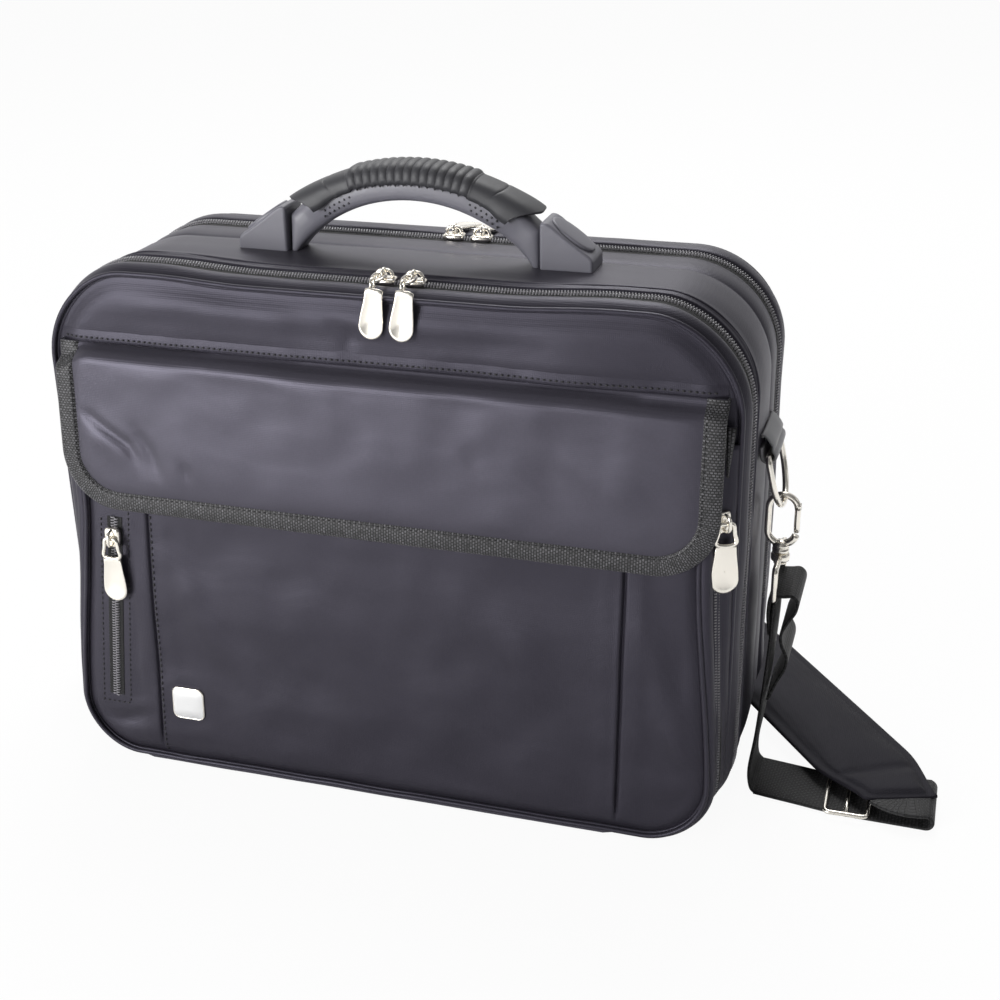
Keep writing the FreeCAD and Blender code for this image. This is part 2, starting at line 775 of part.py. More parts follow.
def make_hook(name, side):
    """The snap hook's claw with its collar and swivel post."""
    half = float(s.hook_width / 2 - s.hook_wire)
    steps = int(float(s.bow_step_count))
    path = round_points((0, float(hook_top) - half), half, 0, 180, steps)
    path += round_points((0, float(hook_base) + half), half, 180, 180, steps)
    points = [vec(side * (float(bar_x) + x), s.ring_offset, z) for x, z in path]
    claw = wire_rod(points, s.hook_wire, Y_AXIS).cut(gate_room(side))
    centre = vec(side * bar_x, s.ring_offset, collar_base)
    collar = rod(s.hook_collar_radius, centre, s.hook_collar_height + s.hook_wire, Z_AXIS)
    post_length = float(s.eye_boss_height + s.swivel_play)
    post = Part.makeCylinder(
        float(s.swivel_radius), post_length, centre - vec(0, 0, post_length)
    )
    low = centre - vec(0, 0, post_length + float(s.swivel_head_height))
    head = rod(s.swivel_head_radius, low, s.swivel_head_height, Z_AXIS)
    feature(name, fuse_all([claw, collar, post, head]))


def gate_room(side):
    """The space in the claw's outer side that the gate fills, with its gaps."""
    centre = side * (bar_x + gate_x)
    low = gate_base - s.gate_radius - s.gap
    reach = s.hook_wire + 2 * s.gap
    return block(
        centre - reach, centre + reach, s.ring_offset - reach, s.ring_offset + reach,
        low, low + s.gate_length + s.gate_radius + 2 * s.gap,
    )


def make_gate(name, side):
    """The sprung bar that closes the claw."""
    centre = vec(side * (bar_x + gate_x), s.ring_offset, gate_base)
    bar = rod(s.gate_radius, centre, s.gate_length, Z_AXIS)
    knuckle = Part.makeCylinder(
        float(s.gate_radius), float(2 * s.gate_radius), centre - vec(0, s.gate_radius, 0), Y_AXIS
    )
    feature(name, fuse_all([bar, knuckle]))


def make_strap_eye(name, side):
    """The strap's metal eye, with the boss that the hook's post turns in."""
    frame = eye_frame(s.eye_width - 2 * s.eye_wire, s.eye_height - 2 * s.eye_wire)
    solid = wire_rod(frame, s.eye_wire, X_AXIS, closed=True)
    boss = rod(s.eye_boss_radius, vec(0, 0, s.eye_wire - s.eye_boss_height), s.eye_boss_height, Z_AXIS)
    bore = Part.makeCylinder(
        float(s.swivel_radius + s.gap), float(2 * s.eye_boss_height), vec(0, 0, -s.eye_boss_height - s.gap)
    )
    shape = solid.fuse(boss).cut(bore).removeSplitter()
    place = FreeCAD.Placement(
        vec(side * bar_x, s.ring_offset, eye_top - s.eye_wire), FreeCAD.Rotation()
    )
    feature(name, shape, place)


def eye_frame(width, height):
    """A strap eye's middle line: a rounded frame with a straight bar below."""
    half = float(width) / 2
    drop = float(height)
    bend = float(s.eye_bend)
    points = []
    for across, along, start in ((1, 0, 90), (1, -1, 0), (-1, -1, -90), (-1, 0, 180)):
        centre = (across * (half - bend), along * drop + (bend if along else -bend))
        points += round_points(centre, bend, start, -90, 2)
    return [vec(0, y, z) for y, z in points]


# The covers

# The rounded rim of a cover is drawn in two steps: shares of its inset and of its depth.
RIM_INSET_SHARE = 0.3
RIM_DEPTH_SHARE = 0.75


def tray_shell(start, face_plane, direction):
    """A padded shell from a plane near the zip to the face, with a rounded rim."""
    rim = face_plane - direction * s.bevel_depth
    middle = rim + direction * s.bevel_depth * RIM_DEPTH_SHARE
    shoulder = s.bevel * RIM_INSET_SHARE
    outer = fuse_all([
        slab(0, start, rim),
        drawn_in(0, rim, shoulder, middle),
        drawn_in(shoulder, middle, s.bevel, face_plane),
    ])
    back = start - direction * s.overrun
    hollow = slab(s.bevel, back, face_plane - direction * s.wall)
    return outer.cut(hollow).cut(slab(s.wall, back, rim))


def make_front_cover():
    """The front cover's shell, with a flat floor that reaches back to the zip."""
    start = front_zip - s.tape_width
    floor_top = cover_base + s.wall
    lip = block(-strip_half, strip_half, start, front_zip - s.gap / 2, cover_base, floor_top)
    floor = block(-zip_end, zip_end, front_face + s.bevel_depth, start, cover_base, floor_top)
    shell = fuse_all([tray_shell(start, front_face, -1), lip, floor])
    feature("front_cover_panel", lift(shell, cover_base))


def make_rear_cover():
    """The rear cover, which folds back above a fixed lower panel."""
    cover = tray_shell(rear_zip + s.tape_width, rear_face, 1)
    feature("rear_cover_panel", lift(cover, s.fold_height + s.gap / 2))
    base = tray_shell(gusset_edge, rear_face, 1)
    feature("rear_base_panel", lower(base, s.fold_height - s.gap / 2))


def sloping_front(stand_off):
    """Everything in front of the pocket's slanted face, moved out by a distance."""
    run = s.bag_height + s.overrun
    base_y = front_face - s.pocket_base_depth - stand_off
    top_y = base_y + pocket_slope * run
    far_y = base_y - s.pocket_base_depth
    low = -s.overrun
    corners = [
        vec(-s.bag_width, base_y - pocket_slope * s.overrun, low),
        vec(-s.bag_width, top_y, run),
        vec(-s.bag_width, far_y, run),
        vec(-s.bag_width, far_y, low),
    ]
    face = Part.Face(Part.makePolygon(corners + corners[:1]))
    return face.extrude(vec(2 * s.bag_width, 0, 0))


def make_pocket():
    """The front pocket: a slanted front with side and base gussets, open at its top and back."""
    far = front_face - s.pocket_base_depth - s.overrun
    outer = slab(s.pocket_inset, far, front_face).cut(sloping_front(0))
    hollow = slab(s.pocket_inset + s.pocket_wall, far, front_face + s.overrun)
    hollow = hollow.cut(sloping_front(-s.pocket_wall))
    above = block(
        -s.bag_width, s.bag_width, far - s.overrun, front_face + s.overrun,
        s.pocket_top, s.bag_height + s.overrun,
    )
    feature("front_pocket", lift(outer.cut(hollow).cut(above), cover_base))


def make_piping():
    """Piping round the front: along the face's top and down the pocket's front edges."""
    upper = ring(s.piping_inset, s.piping_width, front_face - s.piping_height, front_face)
    feature("front_piping", lift(upper, s.pocket_top + s.gap))
    far = front_face - s.pocket_base_depth - s.overrun
    edge = ring(s.piping_inset, s.piping_width, far - s.overrun, front_face)
    edge = edge.common(sloping_front(0)).cut(sloping_front(s.piping_height / 2))
    feature("pocket_piping", lower(edge, s.pocket_top))
    rear = ring(s.piping_inset, s.piping_width, rear_face, rear_face + s.piping_height)
    feature("rear_piping", lift(rear, s.fold_height + s.gap / 2))
    feature("rear_base_piping", lower(rear, s.fold_height - s.gap / 2))


def face_point_y(level):
    """The pocket's outer face at a height."""
    return front_face - s.pocket_base_depth + pocket_slope * level


def on_pocket(x, level, stand_off=0):
    """A placement on the pocket's slanted face: local Y points up the slope, local Z outward."""
    upright = FreeCAD.Rotation(X_AXIS, 90 - float(pocket_angle))
    outward = upright.multVec(Z_AXIS)
    base = vec(x, face_point_y(level), level) + outward * float(stand_off)
    return FreeCAD.Placement(base, upright)


def make_badge():
    body = new_body("badge_plate")
    sketch = new_sketch(body, "XY_Plane")
    half = s.badge_size / 2
    rectangle(sketch, -half, half, -half, half)
    plate = pad(body, sketch, s.badge_thickness)
    soften_edges(body, plate, s.badge_corner, lambda edge: runs_along(edge, Z_AXIS))
    body.Placement = on_pocket(s.badge_inset - pocket_half, s.badge_level)


def strip_zip(name, width, length, placement):
    """A short straight zip: a tape with its raised chain, along local Y."""
    body = new_body(name)
    sketch = new_sketch(body, "XY_Plane")
    rectangle(sketch, -width / 2, width / 2, 0, length)
    pad(body, sketch, s.strip_tape)
    chain = new_sketch(body, "XY_Plane")
    rectangle(chain, -s.coil_half, s.coil_half, s.coil_half, length - s.coil_half)
    pad(body, chain, s.strip_tape + s.coil_height)
    body.Placement = placement


side_zip_y = front_face - s.side_zip_setback


def beside_pocket(level, stand_off=0):
    """A placement on the pocket's right side: local Y points up and local Z outward."""
    upright = FreeCAD.Rotation(Y_AXIS, Z_AXIS, X_AXIS, "ZXY")
    return FreeCAD.Placement(vec(pocket_half + stand_off, side_zip_y, level), upright)


# The flap

def flap_section(near, far):
    """The space between two distances from the pocket's front, right across the bag."""
    seam_y = front_face
    knee_level = s.pocket_top + s.pocket_mouth_depth / 2
    base_level = s.flap_edge_height - s.overrun
    knee_y = face_point_y(s.pocket_top)
    base_y = face_point_y(base_level)
    seam_near = seam_y - s.gap - (near - s.flap_standoff) - s.binding_wrap
    corners = [
        vec(-s.bag_width, seam_near, s.flap_seam_height),
        vec(-s.bag_width, knee_y - near, knee_level),
        vec(-s.bag_width, base_y - near, base_level),
        vec(-s.bag_width, base_y - far, base_level),
        vec(-s.bag_width, knee_y - far, knee_level),
        vec(-s.bag_width, seam_near - (far - near), s.flap_seam_height),
    ]
    face = Part.Face(Part.makePolygon(corners + corners[:1]))
    return face.extrude(vec(2 * s.bag_width, 0, 0))


def flap_front(inset):
    """The flap's outline from the front, as a prism through everything."""
    half = float(flap_half - inset)
    base = float(s.flap_edge_height + inset)
    top = float(s.bag_height)
    radius = float(s.flap_corner - inset)
    y = float(front_hinge_y - s.overrun)
    diagonal = radius * (1 - math.cos(math.radians(45)))

    def at(x, z):
        return vec(x, y, z)

    edges = [
        Part.makeLine(at(-half, top), at(-half, base + radius)),
        Part.Arc(
            at(-half, base + radius), at(-half + diagonal, base + diagonal), at(-half + radius, base)
        ).toShape(),
        Part.makeLine(at(-half + radius, base), at(half - radius, base)),
        Part.Arc(
            at(half - radius, base), at(half - diagonal, base + diagonal), at(half, base + radius)
        ).toShape(),
        Part.makeLine(at(half, base + radius), at(half, top)),
        Part.makeLine(at(half, top), at(-half, top)),
    ]
    return Part.Face(Part.Wire(edges)).extrude(vec(0, s.bag_height, 0))


def make_flap():
    """The padded flap and the woven binding that wraps its side and lower edges."""
    near = s.flap_standoff
    far = near + s.flap_thickness
    panel = flap_section(near, far).common(flap_front(s.binding_wrap))
    feature("flap_panel", panel)
    wrap = flap_section(near - s.binding_wrap, far + s.binding_wrap)
    rim = flap_front(0).cut(flap_front(s.binding_width))
    binding = lower(wrap.common(rim).cut(panel), s.flap_seam_height - s.binding_width)
    feature("flap_binding", binding)


def make_fasteners():
    """Hook-and-loop strips: one half let into the pocket's front, the other into the flap."""
    depth = s.fastener_thickness / 2
    for name, stand_off in (("pocket_fastener", 0), ("flap_fastener", s.flap_standoff - depth)):
        shape = Part.makeBox(
            float(s.fastener_length), float(s.fastener_height), float(depth),
            vec(-s.fastener_length / 2, -s.fastener_height / 2, 0),
        )
        feature(name, shape, on_pocket(0, s.fastener_level, stand_off))


# The handle

# Where the straight outer edges of the handle meet its arch, as a share of half its span.
CREST_SHARE = 0.866


def bow_radius(half, rise):
    """The radius of a curve with half a span and a rise."""
    return (half * half + rise * rise) / (2 * rise)


grip_radius = bow_radius(handle_half, s.grip_fall)
grip_centre = s.bag_height + s.grip_top - grip_radius
grip_angle = math.degrees(math.asin(float(handle_half - s.grip_end_gap) / float(grip_radius)))


def handle_profile():
    """The core's outline: an arch between the brackets with straight outer edges."""
    outer = float(handle_half - s.gap)
    top_centre = float(grip_centre)
    core_radius = float(grip_radius - s.grip_thickness / 2)
    base = float(s.bag_height + s.gap)
    shoulder = float(s.bag_height + s.arm_shoulder)
    inner = outer - float(s.arm_foot)
    under_top = float(s.bag_height + s.grip_clear)
    y = float(s.handle_offset - s.arm_depth / 2)
    crest_x = outer * CREST_SHARE
    crest = top_centre + math.sqrt(core_radius ** 2 - crest_x ** 2)

    def at(x, z):
        return vec(x, y, z)

    edges = [
        Part.makeLine(at(-outer, base), at(-outer, shoulder)),
        Part.makeLine(at(-outer, shoulder), at(-crest_x, crest)),
        Part.Arc(at(-crest_x, crest), at(0, top_centre + core_radius), at(crest_x, crest)).toShape(),
        Part.makeLine(at(crest_x, crest), at(outer, shoulder)),
        Part.makeLine(at(outer, shoulder), at(outer, base)),
        Part.makeLine(at(outer, base), at(inner, base)),
        Part.Arc(at(inner, base), at(0, under_top), at(-inner, base)).toShape(),
        Part.makeLine(at(-inner, base), at(-outer, base)),
    ]
    return Part.Wire(edges)


def side_view_prism():
    """The handle from its side: straight flanks, and lower ends rounded about the pins."""
    half = s.arm_depth / 2
    reach = s.handle_span
    radius = float(s.arm_tip)
    start = vec(-reach / 2, s.handle_offset, pivot_level)
    disc = Part.makeCylinder(radius, float(reach), start, X_AXIS)
    upper = block(
        -reach / 2, reach / 2, s.handle_offset - half - s.overrun, s.handle_offset + half + s.overrun,
        pivot_level, s.bag_height + s.grip_top,
    )
    return disc.fuse(upper)


def make_handle_arch():
    """The stiff core of the handle, which turns on its pins."""
    arch = Part.Face(handle_profile()).extrude(vec(0, s.arm_depth, 0))
    flanks = [edge for edge in arch.Edges if not runs_along(edge, Y_AXIS) and arch_bow(edge)]
    arch = arch.makeChamfer(float(s.core_bevel), flanks)
    arch = arch.common(side_view_prism()).cut(grip_shell())
    for side in (-1, 1):
        start = vec(side * (handle_half + s.overrun), s.handle_offset, pivot_level)
        length = float(s.pin_reach + s.overrun + s.gap)
        radius = float(s.pin_radius + s.pin_play)
        arch = arch.cut(Part.makeCylinder(radius, length, start, X_AXIS * -side))
    feature("handle_arch", arch.removeSplitter())


def arch_bow(edge):
    return edge.Curve.TypeId != "Part::GeomLine"


def revolved(section, spread, start):
    """A section turned about the centre of the grip's curve."""
    centre = vec(0, s.handle_offset, grip_centre)
    turned = section.copy()
    turned.rotate(centre, Y_AXIS, float(start))
    return turned.revolve(centre, Y_AXIS, float(spread))


def grip_shell():
    return revolved(grip_profile(0), 2 * grip_angle, -grip_angle)


# The grip's section: shares of its half width and of its thickness.
GRIP_SECTION_SHARES = [(-1, 0), (-1, 0.42), (-0.66, 0.85), (0, 1), (0.66, 0.85), (1, 0.42), (1, 0)]


def grip_profile(extra):
    """The soft cover's section: short sides under a low arch."""
    half = float(s.grip_width / 2 + extra)
    low = float(s.bag_height + s.grip_top - s.grip_thickness)
    rise = float(s.grip_thickness + extra)
    y = float(s.handle_offset)
    corners = [vec(0, y + half * across, low + rise * up) for across, up in GRIP_SECTION_SHARES]
    return Part.Face(Part.makePolygon(corners + corners[:1]))


def make_grip():
    """The soft cover on the handle, with its row of ribs."""
    shapes = [grip_shell()]
    count = int(float(s.rib_count))
    pitch = math.degrees(float(s.rib_pitch / grip_radius))
    spread = math.degrees(float(s.rib_length / grip_radius))
    for number in range(count):
        middle = (number - (count - 1) / 2) * pitch
        shapes.append(revolved(grip_profile(s.rib_height), spread, middle - spread / 2))
    feature("handle_grip", fuse_all(shapes))


def make_pins():
    pins = []
    for side in (-1, 1):
        start = vec(side * (handle_half - s.pin_reach), s.handle_offset, pivot_level)
        length = float(s.pin_reach + s.pin_seat)
        pins.append(Part.makeCylinder(float(s.pin_radius), length, start, X_AXIS * side))
    feature("handle_pins", Part.Compound(pins))


# Zip sliders and their pulls
# A slider's own frame has X along the chain, Y across it and Z away from the tape.

bridge_middle = s.slider_height + s.bridge_hole + s.bridge_bar / 2
bar_middle = s.slider_height + s.bridge_hole / 2


def make_slider(name, placement):
    body = new_body(name)
    plan = new_sketch(body, "XY_Plane")
    half = s.slider_length / 2
    tail = s.slider_tail / 2
    wide = s.slider_width / 2
    polygon(plan, [
        (-half, -tail), (-s.slider_waist, -wide), (half, -wide),
        (half, wide), (-s.slider_waist, wide), (-half, tail),
    ])
    pad(body, plan, s.slider_height)
    channel = new_sketch(body, "YZ_Plane")
    side = s.coil_half + s.gap
    rectangle(channel, -side, side, -s.gap, s.slider_groove)
    pocket(body, channel, 2 * s.slider_length, both_ways=True)
    bridge = new_sketch(body, "XZ_Plane")
    foot = s.bridge_length / 2
    top = s.slider_height + s.bridge_hole + s.bridge_bar
    polygon(bridge, [
        (-foot, s.slider_height - s.gap), (foot, s.slider_height - s.gap),
        (foot - s.bridge_bar / 2, top), (-foot + s.bridge_bar / 2, top),
    ])
    inner = foot - s.bridge_post
    rectangle(bridge, -inner, inner, s.slider_height, s.slider_height + s.bridge_hole)
    pad(body, bridge, s.bridge_width, both_ways=True)
    body.Placement = placement


def pull_outline(neck, start, length):
    """A pull's outline: it widens from a neck to a round end, down local Y."""
    half = s.pull_width / 2
    low = start - length + half
    turns = [math.radians(angle) for angle in range(0, -181, -30)]
    tip = [(half * math.cos(angle), low + half * math.sin(angle)) for angle in turns]
    return [(neck, start)] + tip + [(-neck, start)]


def pull_plate(body, role, offset, start, length):
    """A pull's plate in a plane of its body."""
    sketch = new_sketch(body, role, offset)
    polygon(sketch, pull_outline(s.pull_neck / 2, start, length))
    pad(body, sketch, s.pull_thickness)


def link_ring(body):
    """The link between a pull and its slider's bridge, a ring with flat sides about local X."""
    sketch = new_sketch(body, "YZ_Plane")
    for radius in (s.pull_ring + s.pull_wire, s.pull_ring - s.pull_wire / 2):
        turns = [math.radians(angle) for angle in range(0, 360, 45)]
        polygon(sketch, [(radius * math.cos(angle), radius * math.sin(angle)) for angle in turns])
    pad(body, sketch, 2 * s.pull_wire, both_ways=True)


def make_front_pull(name, placement):
    """A front pull: its link runs out over the cover's edge and its plate hangs on the face."""
    body = new_body(name)
    link_ring(body)
    neck = new_sketch(body, "XY_Plane")
    half = s.pull_neck / 2
    rectangle(neck, -half, half, -s.pull_reach - s.pull_thickness, -s.pull_ring)
    pad(body, neck, 2 * s.pull_wire, both_ways=True)
    pull_plate(body, "XZ_Plane", s.pull_reach, s.pull_wire, s.pull_length)
    body.Placement = placement


def make_rear_pull(name, placement):
    """A rear pull: a straight plate that lies on the rear cover's top."""
    body = new_body(name)
    link_ring(body)
    neck = new_sketch(body, "XY_Plane")
    half = s.pull_neck / 2
    rectangle(neck, -half, half, -s.rear_neck_length - s.pull_neck / 2, -s.pull_ring)
    pad(body, neck, 2 * s.pull_wire, both_ways=True)
    plate_length = s.rear_pull_length - s.rear_neck_length
    pull_plate(body, "XY_Plane", -s.pull_thickness / 2, -s.rear_neck_length, plate_length)
    body.Placement = placement


def make_side_pull(name, placement):
    """A pocket zip's pull: a plate with a square slot, hung by its top bar; it turns about local X."""
    body = new_body(name)
    sketch = new_sketch(body, "XY_Plane", -s.pull_thickness / 2)
    bar = s.side_pull_bar / 2
    polygon(sketch, pull_outline(s.side_pull_shoulder / 2, bar, s.side_pull_length + bar))
    side = s.side_pull_slot_width / 2
    rectangle(sketch, -side, side, -bar - s.side_pull_slot, -bar)
    pad(body, sketch, s.pull_thickness)
    body.Placement = placement


def moved(placement, x, y, z):
    """A placement shifted along its own axes."""
    return FreeCAD.Placement(placement.multVec(vec(x, y, z)), placement.Rotation)


def make_main_sliders():
    """Two sliders meet on each main zip, and their pulls hang outward."""
    base = tape_level + s.gap
    for zip_name, plane, offset in (
        ("front", front_zip, s.front_pair_offset),
        ("rear", rear_zip, s.rear_pair_offset),
    ):
        for side_name, side in (("left", -1), ("right", 1)):
            x = offset + side * s.pair_spacing / 2
            spin = turn(Z_AXIS, 0 if side < 0 else 180)
            make_slider(
                "%s_slider_%s" % (zip_name, side_name), FreeCAD.Placement(vec(x, plane, base), spin)
            )
            centre = vec(x, plane, base + bridge_middle)
            name = "%s_pull_%s" % (zip_name, side_name)
            if zip_name == "front":
                make_front_pull(name, FreeCAD.Placement(centre, FreeCAD.Rotation()))
            else:
                droop = FreeCAD.Rotation(Z_AXIS, 180).multiply(turn(X_AXIS, s.rear_pull_angle))
                make_rear_pull(name, FreeCAD.Placement(centre, droop))


def make_pocket_sliders():
    """One slider with a slotted pull on each pocket zip."""
    along = FreeCAD.Placement(FreeCAD.Vector(), FreeCAD.Rotation(Z_AXIS, 90))
    level = s.strip_tape + s.gap
    for name, place in (
        ("small_zip", on_pocket(s.small_zip_inset - pocket_half, s.small_zip_base)),
        ("side_zip", beside_pocket(s.side_zip_base)),
    ):
        length = small_zip_length if name == "small_zip" else s.side_zip_length
        rest = moved(place, 0, length - s.slider_length, level)
        make_slider(name + "_slider", rest.multiply(along))
        hang = moved(rest, 0, 0, bar_middle)
        droop = turn(X_AXIS, s.small_pull_angle if name == "small_zip" else 0)
        make_side_pull(name + "_pull", FreeCAD.Placement(hang.Base, hang.Rotation.multiply(droop)))


# The strap

def ribbon(stations, thickness):
    """Webbing through stations; each is a middle, a half-width vector and an upward vector."""
    rows = []
    for middle, side, up in stations:
        rise = up * float(thickness)
        rows.append([middle - side, middle + side, middle + side + rise, middle - side + rise])
    return faceted(rows)


def flat_ribbon(points, first_heading, last_heading):
    """Webbing that lies on the ground along points, with its ends square to two headings."""
    stations = []
    for i, point in enumerate(points):
        if i == 0:
            heading = first_heading
        elif i == len(points) - 1:
            heading = last_heading
        else:
            heading = (points[i + 1] - points[i - 1]).normalize()
        side = vec(-heading.y, heading.x, 0) * float(s.strap_width / 2)
        stations.append((point, side, Z_AXIS))
    return ribbon(stations, s.strap_thickness)


def make_drop(name, side, plan_shares):
    """The webbing from a strap eye down to the ground, with its fold round the eye's bar."""
    bore = s.eye_wire + s.gap
    centre_x = side * bar_x
    start = vec(centre_x, s.ring_offset - s.strap_width / 2, eye_bar_level)
    outer = rod(bore + s.strap_thickness, start, s.strap_width, Y_AXIS)
    hole = rod(bore, start, s.strap_width, Y_AXIS)
    drop = eye_bar_level - bore - s.strap_thickness / 2
    stations = []
    for x_share, y_share, z_share, spin, pitch in plan_shares:
        middle = vec(side * bar_x * x_share, s.ring_offset + y_share * s.strap_width, drop * z_share)
        turned = turn(Z_AXIS, -side * spin)
        width = turned.multVec(vec(0, s.strap_width / 2, 0))
        face = turn(turned.multVec(Y_AXIS), side * pitch).multVec(turned.multVec(X_AXIS * side))
        stations.append((middle, width, face))
    tail = ribbon(stations, s.strap_thickness)
    feature(name, fuse_all([outer, tail]).cut(hole))


# Shares for the drops: across the eye's distance, back in strap widths, up to the eye,
# how far the webbing is twisted about the vertical and how far it leans over, in degrees.
RIGHT_DROP_SHARES = [
    (0.995, 0, 1, 0, 0),
    (0.985, -0.05, 0.8, 0, 0),
    (0.965, -0.15, 0.55, 0, 0),
    (0.95, -0.25, 0.3, 0, 0),
    (0.942, -0.32, 0.12, 0, -25),
    (0.955, -0.37, 0.03, 0, -62),
    (0.985, -0.4, 0, 0, -90),
]
LEFT_DROP_SHARES = [
    (0.995, 0, 1, 0, 0),
    (0.996, 0, 0.93, 0, 0),
    (1.0, 0.03, 0.8, -20, 0),
    (1.015, 0.1, 0.55, -45, 0),
    (1.038, 0.22, 0.3, -72, -15),
    (1.04, 0.5, 0.11, -90, -42),
    (1.042, 0.95, 0.02, -90, -72),
    (1.045, 1.6, 0, -90, -90),
]
# Shares of the bag's half width for the webbing on the ground, seen from above, after its
# first end and before its last.
FLOOR_RUN_SHARES = [(1.18, -0.085), (1.32, -0.105), (1.54, -0.112)]
REAR_RUN_SHARES = [
    (0.53, 1.07), (0.4, 1.24), (0.18, 1.38), (-0.12, 1.44), (-0.48, 1.37),
    (-0.82, 1.15), (-1.02, 0.85), (-1.105, 0.55),
]


def drop_end(side, shares):
    """Where a drop's webbing lies down on the ground."""
    return vec(side * bar_x * shares[-1][0], s.ring_offset + shares[-1][1] * s.strap_width, 0)


def on_ground(shares):
    return [vec(half_width * x, half_width * y, 0) for x, y in shares]


def make_floor_run():
    start = drop_end(1, RIGHT_DROP_SHARES) + X_AXIS * float(s.gap)
    points = [start] + on_ground(FLOOR_RUN_SHARES)
    feature("strap_floor_run", flat_ribbon(points, X_AXIS, X_AXIS))


def make_rear_run():
    end = drop_end(-1, LEFT_DROP_SHARES) + Y_AXIS * float(s.gap)
    points = on_ground(REAR_RUN_SHARES) + [end]
    feature("strap_rear_run", flat_ribbon(points, pad_along, -Y_AXIS))


PAD_PLACE_SHARES = (1.455, -0.115)
fold_x = half_width * FLOOR_RUN_SHARES[-1][0]
fold_y = half_width * FLOOR_RUN_SHARES[-1][1]
pad_x = half_width * PAD_PLACE_SHARES[0]
pad_y = half_width * PAD_PLACE_SHARES[1]
pad_across = turn(Z_AXIS, s.pad_turn_angle).multVec(X_AXIS)
pad_along = turn(Z_AXIS, s.pad_turn_angle).multVec(Y_AXIS)


def make_fold():
    """Where the strap turns back over itself and runs into the pad's end."""
    width = vec(0, s.strap_width / 2, 0)
    centre = vec(fold_x + s.gap, fold_y, s.strap_thickness + s.fold_radius)
    steps = int(float(s.fold_step_count))
    stations = []
    for number in range(steps + 1):
        angle = math.radians(-90 + 180 * number / steps)
        out = vec(math.cos(angle), 0, math.sin(angle))
        stations.append((centre + out * float(s.fold_radius), width, out))
    level = centre.z + float(s.fold_radius)
    end = vec(pad_x, pad_y, level) - pad_along * float(s.fold_lead)
    stations.append((end, pad_across * float(s.strap_width / 2), Z_AXIS))
    feature("strap_fold", ribbon(stations, s.strap_thickness))


def make_pad():
    """The shoulder pad: a flat cushion with tapered ends and thin edges."""
    half = s.pad_width / 2
    tip = s.pad_tip / 2

    def plan(inset, level):
        points = [
            (-(tip - inset), inset), (tip - inset, inset), (half - inset, s.pad_chamfer),
            (half - inset, s.pad_length - s.pad_chamfer), (tip - inset, s.pad_length - inset),
            (-(tip - inset), s.pad_length - inset), (-(half - inset), s.pad_length - s.pad_chamfer),
            (-(half - inset), s.pad_chamfer),
        ]
        corners = [vec(x, y, level) for x, y in points]
        return Part.makePolygon(corners + corners[:1])

    middle = s.pad_thickness / 2
    shape = fuse_all([
        Part.makeLoft([plan(s.pad_edge, 0), plan(0, middle)], True, True),
        Part.makeLoft([plan(0, middle), plan(s.pad_edge, s.pad_thickness)], True, True),
    ])
    tilt = math.radians(float(s.pad_tilt_angle))
    rise = s.pad_length * math.sin(tilt)
    spin = turn(Z_AXIS, s.pad_turn_angle).multiply(turn(X_AXIS, -float(s.pad_tilt_angle)))
    feature("strap_pad", shape, FreeCAD.Placement(vec(pad_x, pad_y, rise), spin))


def make_glide():
    """The metal slider that takes up the strap's length."""
    body = new_body("strap_slider")
    plan = new_sketch(body, "XY_Plane")
    long = s.glide_length / 2
    wide = s.glide_width / 2
    bar = s.glide_bar
    rectangle(plan, -long, long, -wide, wide)
    rectangle(plan, -long + bar, -bar / 2, -wide + bar, wide - bar)
    rectangle(plan, bar / 2, long - bar, -wide + bar, wide - bar)
    pad(body, plan, s.glide_thickness)
    x_share, y_share = FLOOR_RUN_SHARES[1]
    body.Placement = FreeCAD.Placement(
        vec(half_width * x_share, half_width * y_share, s.strap_thickness + s.gap), FreeCAD.Rotation()
    )


# Build everything

def build():
    make_gusset_band()
    make_divider()
    make_base_board()
    make_front_hinge_strip()
    make_fold_strip()
    make_backing_plate()
    make_screws()
    make_pins()
    tape("front_zip_tape_case", front_zip, 1, 0)
    tape("rear_zip_tape_case", rear_zip, -1, s.fold_height + s.gap / 2)
    tape("front_zip_tape_cover", front_zip, -1, 0)
    tape("rear_zip_tape_cover", rear_zip, 1, s.fold_height + s.gap / 2)
    make_front_cover()
    make_rear_cover()
    make_pocket()
    make_piping()
    make_badge()
    strip_zip(
        "small_zip_tape", s.small_zip_width, small_zip_length,
        on_pocket(s.small_zip_inset - pocket_half, s.small_zip_base),
    )
    strip_zip("side_zip_tape", s.side_zip_width, s.side_zip_length, beside_pocket(s.side_zip_base))
    make_flap()
    make_fasteners()
    make_handle_arch()
    make_grip()
    for side_name, side in (("left", -1), ("right", 1)):
        make_bracket("handle_bracket_" + side_name, side)
        make_side_loop("side_loop_" + side_name, side)
        make_strap_ring("strap_ring_" + side_name, side)
        make_hook("snap_hook_" + side_name, side)
        make_gate("hook_gate_" + side_name, side)
        make_strap_eye("strap_eye_" + side_name, side)
    make_main_sliders()
    make_pocket_sliders()
    make_drop("strap_drop_right", 1, RIGHT_DROP_SHARES)
    make_drop("strap_drop_left", -1, LEFT_DROP_SHARES)
    make_floor_run()
    make_rear_run()
    make_fold()
    make_pad()
    make_glide()


def sub_parts():
    kinds = ("Part::Feature", "Part::Box", "PartDesign::Body")
    return [item for item in doc.Objects if item.TypeId in kinds]


def check():
    """Stop on any failed object or unsound shape."""
    for item in doc.Objects:
        for word in ("Invalid", "Error"):
            if word in item.State:
                raise ValueError("%s is %s" % (item.Label, word))
    for item in sub_parts():
        if item.Shape.isNull() or not item.Shape.isValid():
            raise ValueError(item.Label + " has no sound shape")


